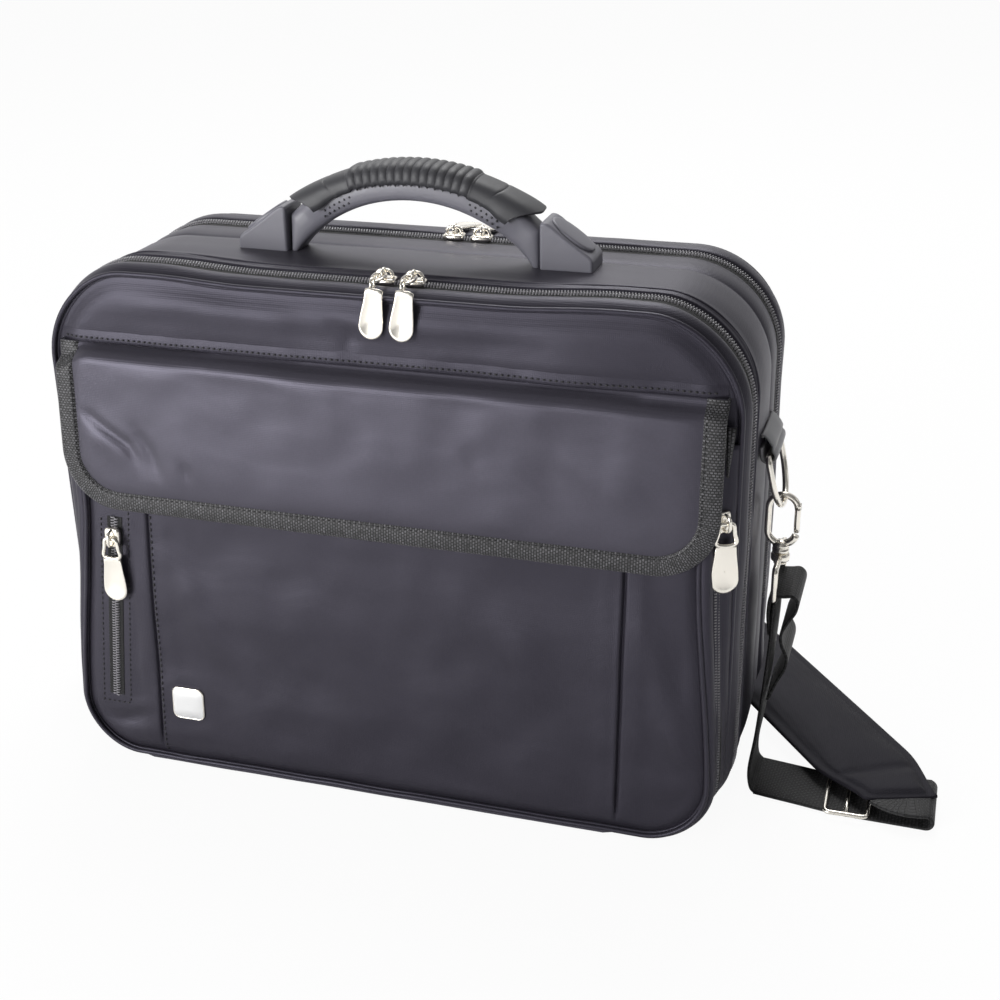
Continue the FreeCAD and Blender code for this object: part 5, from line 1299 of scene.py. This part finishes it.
def drop_outline(neck, wide, length):
    """Half the outline of a drop-shaped plate, from its neck down: (half width, distance)."""
    points = [(neck * 0.55, 0.0), (neck, 0.8)]
    for t in (0.2, 0.4, 0.6, 0.8):
        points.append((neck + (wide - neck) * ease(0, 1, t) * 0.98, 0.8 + (length - wide - 0.8) * t))
    for turn in (0, 15, 30, 45, 60, 75, 88):
        a = math.radians(turn)
        points.append((wide * math.cos(a), length - wide + wide * math.sin(a)))
    return points


def plate(name, neck, wide, length):
    """A pull's drop-shaped plate with a soft rim in its own plane; it hangs along local -Y."""
    half = drop_outline(neck, wide, length)
    outline = [(x, -d) for x, d in half] + [(-x, -d) for x, d in reversed(half)]
    middle = Vector((0, -length * 0.55))
    rows = []
    for share, height in (
        (0.0, -0.5), (0.93, -0.5), (1.0, -0.25), (1.0, 0.25), (0.93, 0.5), (0.84, 0.5), (0.8, 0.38),
        (0.02, 0.38),
    ):
        ring = []
        for x, y in outline:
            p = middle + (Vector((x, y)) - middle) * max(share, 0.02)
            ring.append((p[0], p[1], height * PLATE_THICK))
        rows.append(ring)
    return loft(name + "_plate", rows, NICKEL, name, name, flip=True)


def link(name, body, centre, radius, wire, origin, x_axis, y_axis):
    """A round link in the plane of the pull's length and thickness."""
    (x, y, z), turns = centre, [2 * math.pi * s / 24 for s in range(24)]
    path = [(x, y + radius * math.cos(a), z + radius * math.sin(a)) for a in turns]
    place_piece(tube(name, path, wire, NICKEL, body, **WIRE_LOOP), origin, x_axis, y_axis)


def front_pull(name, x):
    """A pull on the front zip: a link through the bridge, a second link and a hanging plate."""
    centre = (x, FRONT_ZIP_Y, BRIDGE_Z)
    link(name + "_link", name, (0, -1.5, 0), 2.9, 0.75, centre, (1, 0, 0), (0, 1, 0))
    right = [(2.6, -5, 0.8), (3.2, -9, 0.6), (2.4, -14, 0.2)]
    eye = [(0, -3.2, 0.6)] + right + [(0, -16.5, -0.2)] + [(-ex, ey, ez) for ex, ey, ez in reversed(right)]
    eye = tube(name + "_eye", spline(eye, 5, closed=True), 0.9, NICKEL, name, **WIRE_LOOP)
    place_piece(eye, centre, (1, 0, 0), (0, 1, 0))
    link(name + "_lower_link", name, (0, -18.6, -0.6), 2.8, 0.8, centre, (1, 0, 0), (0, 1, 0))
    item = plate(name, 4.9, 6.9, 28.0)
    place_piece(item, (x + 2.4, -69.4, 303.0), (1, 0, -0.12), (0.12, 0.055, 1))


def rear_pull(name, x):
    """A pull on the rear zip: its plate lies back on the cover."""
    centre = (x, REAR_ZIP_Y, BRIDGE_Z)
    droop = Vector((0, -1, math.sin(math.radians(9))))
    link(name + "_link", name, (0, -1.5, 0), 2.9, 0.75, centre, (-1, 0, 0), (0, -1, 0.1))
    item = plate(name, 3.2, 7.5, 33.0)
    place_piece(item, Vector(centre) - droop * 5.0, (-1, 0, 0), droop)


def slotted_pull(name, origin, x_axis, y_axis):
    """A pocket zip's pull: a frame round a slot above, a drop-shaped plate below."""
    right = [(3.4, -0.6, 0), (4.4, -6, 0), (5.2, -11, 0)]
    slot = [(0, 0, 0)] + right + [(0, -12.6, 0)] + [(-x, y, z) for x, y, z in reversed(right)]
    slot = tube(name + "_frame", spline(slot, 5, closed=True), 1.25, NICKEL, name, **WIRE_LOOP)
    place_piece(slot, origin, x_axis, y_axis)
    down = Vector(origin) - Vector(y_axis).normalized() * 11.6
    place_piece(plate(name, 5.6, 7.5, 28.5), down, x_axis, y_axis)


for name, x, towards in (("left", -0.5, 1), ("right", 16.5, -1)):
    slider("front_slider_" + name, (x, FRONT_ZIP_Y, SLIDER_FOOT_Z), (towards, 0, 0), (0, towards, 0))
    front_pull("front_pull_" + name, x)
for name, x, towards in (("left", 7.5, 1), ("right", 24.5, -1)):
    slider("rear_slider_" + name, (x, REAR_ZIP_Y, SLIDER_FOOT_Z), (towards, 0, 0), (0, towards, 0))
    rear_pull("rear_pull_" + name, x)
SLOPE = Vector((0, POCKET_LEAN, 1)).normalized()
SLOPE_OUT = Vector((0, -SLOPE.z, SLOPE.y))
SIDE_OUT, SIDE_ACROSS = Vector((0.8, -0.6, 0)), Vector((0.6, 0.8, 0))
SIDE_SHARE, SLIDER_UP = 0.5, 193.5


def small_zip_point(z):
    """The middle of the small zip at a height, on the pocket's cloth."""
    return Vector((small_zip_x(z), slope_y(z) - 0.7, z))


def side_zip_point(z):
    """The middle of the side zip at a height, on the gusset."""
    return Vector(gusset_point(HALF, z, 1, 0, SIDE_SHARE, 0.3))


small_top = small_zip_point(SMALL_ZIP_LOW + 104)
slider("small_zip_slider", small_top + SLOPE_OUT * 1.3, SLOPE, (-1, 0, 0))
slotted_pull("small_zip_pull", small_top + SLOPE_OUT * 5.6, (1, 0, 0), SLOPE + SLOPE_OUT * 0.056)
slider("side_zip_slider", side_zip_point(SLIDER_UP) + SIDE_OUT * 1.3, (0, 0, 1), -SIDE_ACROSS)
slotted_pull("side_zip_pull", side_zip_point(SLIDER_UP) + SIDE_OUT * 5.6, (0.93, 0.37, 0), (0, 0, 1))
print("sliders and pulls made")

# %% [markdown]
# The two short zips on the pocket: a strip of tape with a coil chain down its middle. The tape
# lies a little under the cloth's edge, so the opening reads as a dark slot.

# %% Pocket zips


def short_zip(name, stations_mm, wide, *nodes):
    """Tape and chain of a short zip along (point, across, out) stations."""
    rows = []
    for share, lift in (
        (-1.0, -0.6), (-0.96, 0.3), (-0.8, 0.15), (-0.3, 0.15), (0.3, 0.15), (0.8, 0.15), (0.96, 0.3),
        (1.0, -0.6),
    ):
        rows.append([tuple(p + across * (wide / 2 * share) + out * lift) for p, across, out in stations_mm])
    loft(name + "_strip", rows, TAPE, "front_cover", *nodes, closed=False)
    points, faces, side = [], [], 1
    middles = [middle for middle, _, _ in stations_mm]
    for i, share in walk(middles, PITCH / 2):
        _, across, out = stations_mm[i]
        along = (middles[i + 1] - middles[i]).normalized()
        centre = middles[i].lerp(middles[i + 1], share) + out * 0.3
        start = len(points)
        for reach, rise in ((2.4, 0.0), (2.1, 0.9), (1.0, 1.3), (-0.3, 0.5)):
            for sign in (-1, 1):
                points.append(tuple(centre + across * (side * reach) + along * (sign * 0.42) + out * rise))
        for corner in (start, start + 2, start + 4):
            faces.append((corner, corner + 2, corner + 3, corner + 1))
        side = -side
    # The chain takes the coil finish, whose pale grey is a painted highlight.
    piece(name + "_chain", points, faces, PALE_PAINTED_COIL, "front_cover")


def side_stations(low, high):
    """Stations of the side zip between two heights; under 40 mm it follows the round corner."""
    result = []
    for x, z, nx, nz in POCKET_U[:len(POCKET_U) // 2]:
        if low <= z <= high and nx > 0.2:
            middle = Vector(gusset_point(x, z, nx, nz, SIDE_SHARE, 0.3))
            across, out = Vector((0.6 * nx, 0.8, 0.6 * nz)), Vector((0.8 * nx, -0.6, 0.8 * nz))
            result.append((middle, across, out))
    return result


small_line = [small_zip_point(SMALL_ZIP_LOW + SMALL_ZIP_LONG * i / 40) for i in range(41)]
short_zip("small_zip", [(p, Vector((1, 0, 0)), SLOPE_OUT) for p in small_line], 10, "small_zip_tape")
short_zip("side_zip", side_stations(41, 208), 8, "side_zip_tape")
short_zip("side_zip_corner", side_stations(2, 44), 8)

# %% [markdown]
# The badge is a bare metal plate with rounded corners and a bevelled rim. The two halves of the
# hook-and-loop fastener, the hinge strip and the fold's binding are thin sewn strips. Their sizes
# come from the frame. A welt lies along the hinge strip, as in the photo.

# %% Badge and fasteners


def rounded_square(half, corner):
    """A square with rounded corners, as (x, z) points round its middle."""
    points = []
    for cx, cz, start in ((1, 1, 0), (-1, 1, 90), (-1, -1, 180), (1, -1, 270)):
        points += arc_points(cx * (half - corner), cz * (half - corner), corner, start, start + 90, 6)
    return points


def badge_rows(plan):
    """Rows of the badge from (half, corner, lift) steps."""
    return [
        [
            (BADGE_X + x, slope_y(BADGE_Z + z) - 0.7 - lift, BADGE_Z + z)
            for x, z in rounded_square(half, corner)
        ]
        for half, corner, lift in plan
    ]


BADGE_FACE = [(9.6, 3.7, 1.0), (8.9, 3.2, 1.15), (4, 1.4, 1.15), (0.05, 0.02, 1.15)]
BADGE_RIM = [(10.2, 4.1, -0.2), (10.4, 4.2, 0.4), (10.3, 4.1, 0.9), (9.9, 3.9, 1.15), (9.5, 3.6, 0.9)]
loft("badge_disc", badge_rows(BADGE_FACE), BADGE, "front_cover", "badge_plate")
loft("badge_rim", badge_rows(BADGE_RIM), NICKEL, "front_cover")


def strip_block(node, low, high, finish, body):
    """A sewn strip between two corners; a thin one has a smaller bevel."""
    (x0, y0, z0), (x1, y1, z1) = low, high
    outline = [(x0, z0), (x1, z0), (x1, z1), (x0, z1)]
    bevel = 0.3 if y1 - y0 < 2.5 else 0.9
    prism(node + "_sewn", outline, y0, y1, finish, body, node, bevel=bevel, segments=2)


def as_mm(node):
    """A frame node's box in millimetres."""
    low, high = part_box(node)
    return tuple(v / MM for v in low), tuple(v / MM for v in high)


for node, body, finish in (
    ("pocket_fastener", "front_cover", HOOKS), ("flap_fastener", "flap", HOOKS),
    ("front_hinge_strip", "case", SHELL), ("rear_fold_strip", "case", BINDING),
):
    low, high = as_mm(node)
    if node == "front_hinge_strip":
        low, high = (-152, -89, low[2]), (152, high[1], high[2])
    strip_block(node, low, high, finish, body)

welt = [(-153 + 292 * i / 60, -91.6, 2.6 + 0.3 * noise.noise(Vector((i / 7, 0, 0)))) for i in range(61)]
# The welt takes the lighter nylon, a painted highlight on the shell's cloth.
tube("hinge_strip_welt", welt, [1.2] + [2.3] * 59 + [1.2], LIGHTER_PAINTED_NYLON, "case", sides=12)

# %% [markdown]
# The strap is flat webbing, 38 mm wide. Each run is a ribbon: a middle line, a direction across
# and a thin section, smoothed between stations.

# %% Strap webbing
WEB_HALF, WEB_THICK = 19.0, 2.0


def webbing_run(name, stations_mm, node):
    """A ribbon through (middle, across, up) stations with slightly rounded selvedges."""
    middles, acrosses, ups = (spline([station[k] for station in stations_mm], 6) for k in range(3))
    section = [
        (-1.0, 0.5), (-0.985, 0.12), (-0.94, 0.0), (-0.5, 0.0), (0.0, 0.0), (0.5, 0.0),
        (0.94, 0.0), (0.985, 0.12), (1.0, 0.5), (0.985, 0.88), (0.94, 1.0), (0.5, 1.0),
        (0.0, 1.0), (-0.5, 1.0), (-0.94, 1.0), (-0.985, 0.88),
    ]
    columns = []
    for middle, across, up in zip(middles, acrosses, ups):
        side, rise = Vector(across).normalized() * WEB_HALF, Vector(up).normalized() * WEB_THICK
        columns.append([tuple(Vector(middle) + side * a + rise * b) for a, b in section])
    rows = [[column[k] for column in columns] for k in range(len(section))]
    rows.append(rows[0])
    loft(name, rows, WEBBING, "case", node, closed=False)


def flat_stations(points, first, last):
    """Stations of webbing that lies on the ground, with its headings at both ends."""
    result = []
    for i, (x, y) in enumerate(points):
        if i == 0:
            heading = Vector(first)
        elif i == len(points) - 1:
            heading = Vector(last)
        else:
            (x0, y0), (x1, y1) = points[i - 1], points[i + 1]
            heading = Vector((x1 - x0, y1 - y0, 0)).normalized()
        result.append(((x, y, 0.0), (-heading.y, heading.x, 0), (0, 0, 1)))
    return result


def drop_stations(side, shares):
    """Stations of the webbing from an eye down to the ground."""
    drop = EYE_BAR - 3.1
    result = []
    for x_share, y_share, z_share, spin, pitch in shares:
        middle = Vector((side * BAR_X * x_share, RING_Y + y_share * 38, drop * z_share))
        turned = Matrix.Rotation(math.radians(-side * spin), 3, "Z")
        across = turned @ Vector((0, 1, 0))
        face = Matrix.Rotation(math.radians(side * pitch), 3, across) @ (turned @ Vector((side, 0, 0)))
        result.append((middle, across, face))
    return result


def eye_lobe(name, side):
    """The fold of webbing round the eye's bar, which ends on the drop."""
    line = [(-2.2, EYE_BAR - 23), (-3.6, EYE_BAR - 11), (-3.5, EYE_BAR - 3)]
    for turn in (150, 110, 70):
        a = math.radians(turn)
        line.append((3.2 * math.cos(a), EYE_BAR + 3.2 * math.sin(a)))
    line += [(x, EYE_BAR - drop) for x, drop in (
        (5.5, -3.4), (10.5, -4.0), (14.0, -0.4), (13.4, 6.4), (9.4, 14), (6.2, 21.5), (6.8, 28.5), (10, 36),
        (9.4, 44), (5, 54), (0.8, 66),
    )]
    path = spline([(side * (BAR_X + x), 0, z) for x, z in line], 5)
    rows = [[(x, RING_Y + dy, z) for x, _, z in path] for dy in (-19, -18.4, -9, 0, 9, 18.4, 19)]
    loft(name, rows, WEBBING, "case", closed=False, wall=1.7, flip=side < 0)


RIGHT_DROP = [
    (0.995, 0, 1, 0, 0), (0.993, -0.03, 0.8, 0, 0), (0.985, -0.1, 0.55, 0, 0), (0.975, -0.2, 0.3, 0, 0),
    (0.964, -0.3, 0.12, 0, -25), (0.972, -0.37, 0.03, 0, -62), (0.99, -0.4, 0, 0, -90),
]
LEFT_DROP = [
    (0.995, 0, 1, 0, 0), (0.996, 0, 0.93, 0, 0), (1.0, 0.03, 0.8, -20, 0), (1.015, 0.1, 0.55, -45, 0),
    (1.038, 0.22, 0.3, -72, -15), (1.04, 0.5, 0.11, -90, -42), (1.042, 0.95, 0.02, -90, -72),
    (1.045, 1.6, 0, -90, -90),
]
webbing_run("strap_drop_right_webbing", drop_stations(1, RIGHT_DROP), "strap_drop_right")
webbing_run("strap_drop_left_webbing", drop_stations(-1, LEFT_DROP), "strap_drop_left")
eye_lobe("eye_fold_right", 1)
eye_lobe("eye_fold_left", -1)
FLOOR_RUN = [(210.0, -13.2), (236, -17), (264, -21), (308.8, -22.4)]
webbing_run("strap_floor_run_webbing", flat_stations(FLOOR_RUN, (1, 0, 0), (1, 0, 0)), "strap_floor_run")
REAR_RUN = [
    (106, 214), (80, 248), (36, 276), (-24, 288), (-96, 274), (-164, 230), (-204, 170), (-221, 110),
    (-222.5, 63.1),
]
PAD_TURN = math.radians(36.6)
PAD_ALONG = Vector((-math.sin(PAD_TURN), math.cos(PAD_TURN), 0))
PAD_ACROSS = Vector((math.cos(PAD_TURN), math.sin(PAD_TURN), 0))
webbing_run("strap_rear_run_webbing", flat_stations(REAR_RUN, PAD_ALONG, (0, -1, 0)), "strap_rear_run")
PAD_START, FOLD_CENTRE = Vector((291, -23, 0)), Vector((308.3, -22.4, 5.0))
fold = []
for number in range(9):
    a = math.radians(-90 + 180 * number / 8)
    out = Vector((math.cos(a), 0, math.sin(a)))
    fold.append((FOLD_CENTRE + out * 3.0, (0, 1, 0), out))
fold.append((Vector((300, -24, 8.2)), (-0.15, 1, 0), (0, 0, 1)))
fold.append((PAD_START - PAD_ALONG * 1 + Vector((0, 0, 8.0)), PAD_ACROSS, (0, 0, 1)))
webbing_run("strap_fold_webbing", fold, "strap_fold")
print("strap made")

# %% [markdown]
# The shoulder pad is a flat cushion: two layers of cloth over thin foam, with a hem sewn 4 mm
# inside its rim and a cross seam near each end. A sewn rim and the pressure of the foam give
# cloth its swell and its small puckers, so a cloth simulation makes the form: the cover starts
# a little thin, the sewn lines are pinned, and the pressure blows it up.

# %% Shoulder pad
PAD_LONG, HEM_IN, CROSS_SEAMS = 300.0, 4.5, (26.0, 274.0)
PAD_RISE, PAD_FLAT, PAD_LEVEL, PAD_TILT = 4.0, 0.9, 4.2, math.radians(1.05)
CLOTH_FRAMES, PRESSURE, MOST_MM = 20, 4.0, 3.0


def pad_half_width(t):
    """The pad's half width at a distance along it."""
    return 20.5 + 10.0 * ease(0, 42, min(t, PAD_LONG - t))


def pad_sewn(u, t):
    """1 on a sewn line of the pad, the hem or a cross seam, and 0 away from them."""
    across = abs(pad_half_width(t) * (1 - abs(u)) - HEM_IN)
    along = min(abs(t - seam_t) for seam_t in CROSS_SEAMS + (3.0, PAD_LONG - 3.0))
    return math.exp(-(min(across, along) / 1.6) ** 2)


def pad_point(u, t, top, full):
    """A point on the pad: u across from -1 to 1, t along in millimetres; full is its swelling.

    The near end is cut at a slant, so it lies square to the strap that comes out of it."""
    half = pad_half_width(t)
    edge = (1 - abs(u) ** 5) * ease(-2, 8, t) * ease(-2, 8, PAD_LONG - t)
    folds = soft(u * half, t, 3, 30, 1.0) + crease(
        t, u * half, [(20, -8), (120, 4), (210, -2), (285, 9)], 2.4, -1.6,
    )
    swell = PAD_RISE * edge * full + PAD_FLAT + folds * edge * full
    swell -= min(2.2, swell - PAD_FLAT) * pad_sewn(u, t)
    rise = PAD_LONG * math.sin(PAD_TILT) * (1 - t / PAD_LONG)
    level = rise + PAD_LEVEL
    z = level + swell if top else max(level - swell * 0.95, rise * 0.9)
    slant = (6.0 + 7.0 * u) * (1 - ease(0, 75, t))
    place = PAD_START + PAD_ACROSS * (u * half) + PAD_ALONG * (t - slant)
    return (place.x, place.y, max(z, 0.0))


PAD_US = [i / 12 for i in range(-12, 13)]
PAD_TS = [PAD_LONG * i / 100 for i in range(101)]


def drawn_pad(full):
    """The pad's rows at a share of its swelling, on an even grid."""
    rows = []
    for t in PAD_TS:
        upper = [pad_point(u, t, True, full) for u in PAD_US]
        rows.append(upper + [pad_point(u, t, False, full) for u in reversed(PAD_US)])
    return rows


def held_points():
    """The numbers of the grid's points that lie on the rim or on a sewn line."""
    held = []
    for t in PAD_TS:
        for u in PAD_US + PAD_US[::-1]:
            rim = abs(u) > 0.99 or t in (PAD_TS[0], PAD_TS[-1])
            held.append(rim or pad_sewn(u, t) > 0.55)
    return [number for number, on_line in enumerate(held) if on_line]


def as_seen(item):
    """A copy of a piece's mesh with its modifiers applied."""
    graph = bpy.context.evaluated_depsgraph_get()
    return bpy.data.meshes.new_from_object(item.evaluated_get(graph))


def blow_up(item):
    """A cloth simulation: sewn lines are pinned and pressure swells the rest of the cover."""
    start = [vertex.co.copy() for vertex in item.data.vertices]
    pins = item.vertex_groups.new(name="sewn")
    pins.add(held_points(), 1.0, "REPLACE")
    cloth = item.modifiers.new("cloth", "CLOTH")
    cloth.settings.vertex_group_mass = pins.name
    cloth.settings.quality = 6
    cloth.settings.mass = 0.15
    cloth.settings.tension_stiffness = cloth.settings.compression_stiffness = 30
    cloth.settings.bending_stiffness = 0.6
    cloth.settings.use_pressure = True
    cloth.settings.uniform_pressure_force = PRESSURE
    cloth.settings.effector_weights.gravity = 0.0
    cloth.collision_settings.use_collision = False
    cloth.point_cache.frame_start, cloth.point_cache.frame_end = 1, CLOTH_FRAMES
    for number in range(1, CLOTH_FRAMES + 1):
        bpy.context.scene.frame_set(number)
    swollen = as_seen(item)
    item.modifiers.clear()
    item.vertex_groups.clear()
    moved = 0.0
    for vertex, before in zip(swollen.vertices, start):
        step = vertex.co - before
        if step.length > MOST_MM * MM:
            step *= MOST_MM * MM / step.length
        vertex.co = before + step
        vertex.co.z = max(vertex.co.z, 0.0)
        moved = max(moved, step.length)
    item.data = swollen
    bpy.context.scene.frame_set(1)
    swollen.polygons.foreach_set("use_smooth", [True] * len(swollen.polygons))
    item.modifiers.new("rounding", "SUBSURF").levels = 1
    item.modifiers["rounding"].render_levels = 1
    print(item.name, "swelled by up to %.1f mm" % (moved / MM), len(swollen.vertices))


pad = loft("shoulder_pad", drawn_pad(0.6), PAD_CLOTH, "case", "strap_pad", capped=True)
blow_up(pad)

# %% [markdown]
# The strap slider is a flat metal frame with a middle bar.

# %% Strap slider
SLIDER_X, SLIDER_Y, SLIDER_Z = 264, -21, 3.6
frame_line = [(SLIDER_X + x, SLIDER_Y + y, SLIDER_Z) for x, y in rounded_box(12, 21.5, 3, 4)]
tube("strap_slider_frame", frame_line, 1.3, NICKEL, "strap_slider", "strap_slider", closed=True, sides=12)
bar_line = [(SLIDER_X, SLIDER_Y + y, SLIDER_Z) for y in (-21, -10, 0, 10, 21)]
tube("strap_slider_bar", bar_line, 1.2, NICKEL, "strap_slider", sides=12)

# %% [markdown]
# The pieces that stay as the frame has them: the stiff panels and the small metal parts. They
# keep their shape and get their finish here.

# %% Finishes of the kept pieces


def refinish(node, finish):
    """Puts a finish in every material slot of a frame node."""
    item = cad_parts[node]
    if not item.material_slots:
        item.data.materials.append(finish)
    for place in item.material_slots:
        place.material = finish


for node, finish in (
    ("divider_panel", LINING), ("base_board", BOARD), ("handle_backing_plate", BOARD),
    ("bracket_screws", STEEL), ("handle_pins", STEEL),
):
    refinish(node, finish)

# %% [markdown]
# The stage: a white table top and a world that is white to the camera. To everything else the
# world is dimmer towards the front, the right and straight above, which leaves the bag's front in
# half shade, as in the photo. Two soft lamps light its top and its left, a weak one its right. The
# picture is shown without a film look, so a colour comes out about as it is written.

# %% Stage and light
TABLE_HALF, TABLE_Z, GLOW_SHARE = 6, -0.0005, 0.94


def plane(name, corners, finish):
    """A flat piece of the stage."""
    mesh = bpy.data.meshes.new(name)
    mesh.from_pydata(corners, [], [(0, 1, 2, 3)])
    mesh.materials.append(finish)
    item = bpy.data.objects.new(name, mesh)
    bpy.context.scene.collection.objects.link(item)


def white_table():
    """White to the camera, with a share of real shading so shadows stay."""
    material, tree = blank("white_table_top")
    shaded = add(tree, "ShaderNodeBsdfDiffuse", {"Color": linear("ffffff")})
    glow = add(tree, "ShaderNodeEmission", {"Color": linear("ffffff"), "Strength": 1.0})
    path = add(tree, "ShaderNodeLightPath")
    share = add(tree, "ShaderNodeMath", {
        0: path.outputs["Is Camera Ray"], 1: GLOW_SHARE,
    }, operation="MULTIPLY")
    finish_off(tree, add(tree, "ShaderNodeMixShader", {
        0: share.outputs[0], 1: shaded.outputs[0], 2: glow.outputs[0],
    }))
    return material


plane(
    "table",
    [(x * TABLE_HALF, y * TABLE_HALF, TABLE_Z) for x, y in ((-1, -1), (1, -1), (1, 1), (-1, 1))],
    white_table(),
)

world = bpy.data.worlds.new("white_studio")
bpy.context.scene.world = world
world.use_nodes = True
sky = world.node_tree
sky.nodes.clear()
place = add(sky, "ShaderNodeTexCoord")
parts = add(sky, "ShaderNodeSeparateXYZ", {"Vector": place.outputs["Generated"]})
SKY_SHARES = (("Y", -0.3, 0.5, 0.42, 1.0), ("X", -0.2, 0.8, 1.0, 0.25), ("Z", 0.45, 0.95, 1.0, 0.7))
shares = []
for axis, start, end, first, last in SKY_SHARES:
    shares.append(add(sky, "ShaderNodeMapRange", {
        "Value": parts.outputs[axis], "From Min": start, "From Max": end, "To Min": first, "To Max": last,
    }).outputs["Result"])
flat = add(sky, "ShaderNodeMath", {0: shares[0], 1: shares[1]}, operation="MULTIPLY")
room = add(sky, "ShaderNodeMath", {0: flat.outputs[0], 1: shares[2]}, operation="MULTIPLY")
path = add(sky, "ShaderNodeLightPath")
strength = add(
    sky, "ShaderNodeMath", {0: room.outputs[0], 1: path.outputs["Is Camera Ray"]}, operation="MAXIMUM",
)
glow = add(sky, "ShaderNodeBackground", {"Color": linear("ffffff"), "Strength": strength.outputs[0]})
add(sky, "ShaderNodeOutputWorld", {"Surface": glow.outputs[0]})


def lamp(name, place, target, size, power):
    """A soft square lamp that points at a target."""
    light = bpy.data.lights.new(name, "AREA")
    light.size = size
    light.energy = power
    item = bpy.data.objects.new(name, light)
    item.location = place
    item.rotation_euler = (Vector(target) - Vector(place)).to_track_quat("-Z", "Y").to_euler()
    bpy.context.scene.collection.objects.link(item)


lamp("back_lamp", (-0.2, 1.2, 2.0), (0, 0, 0.25), 1.2, 26)
lamp("front_left_lamp", (-1.1, -1.7, 0.52), (0, 0, 0.17), 0.9, 33)
lamp("right_lamp", (1.7, 0.2, 0.9), (0, 0, 0.15), 0.6, 1)
bpy.context.scene.view_settings.view_transform = "Standard"
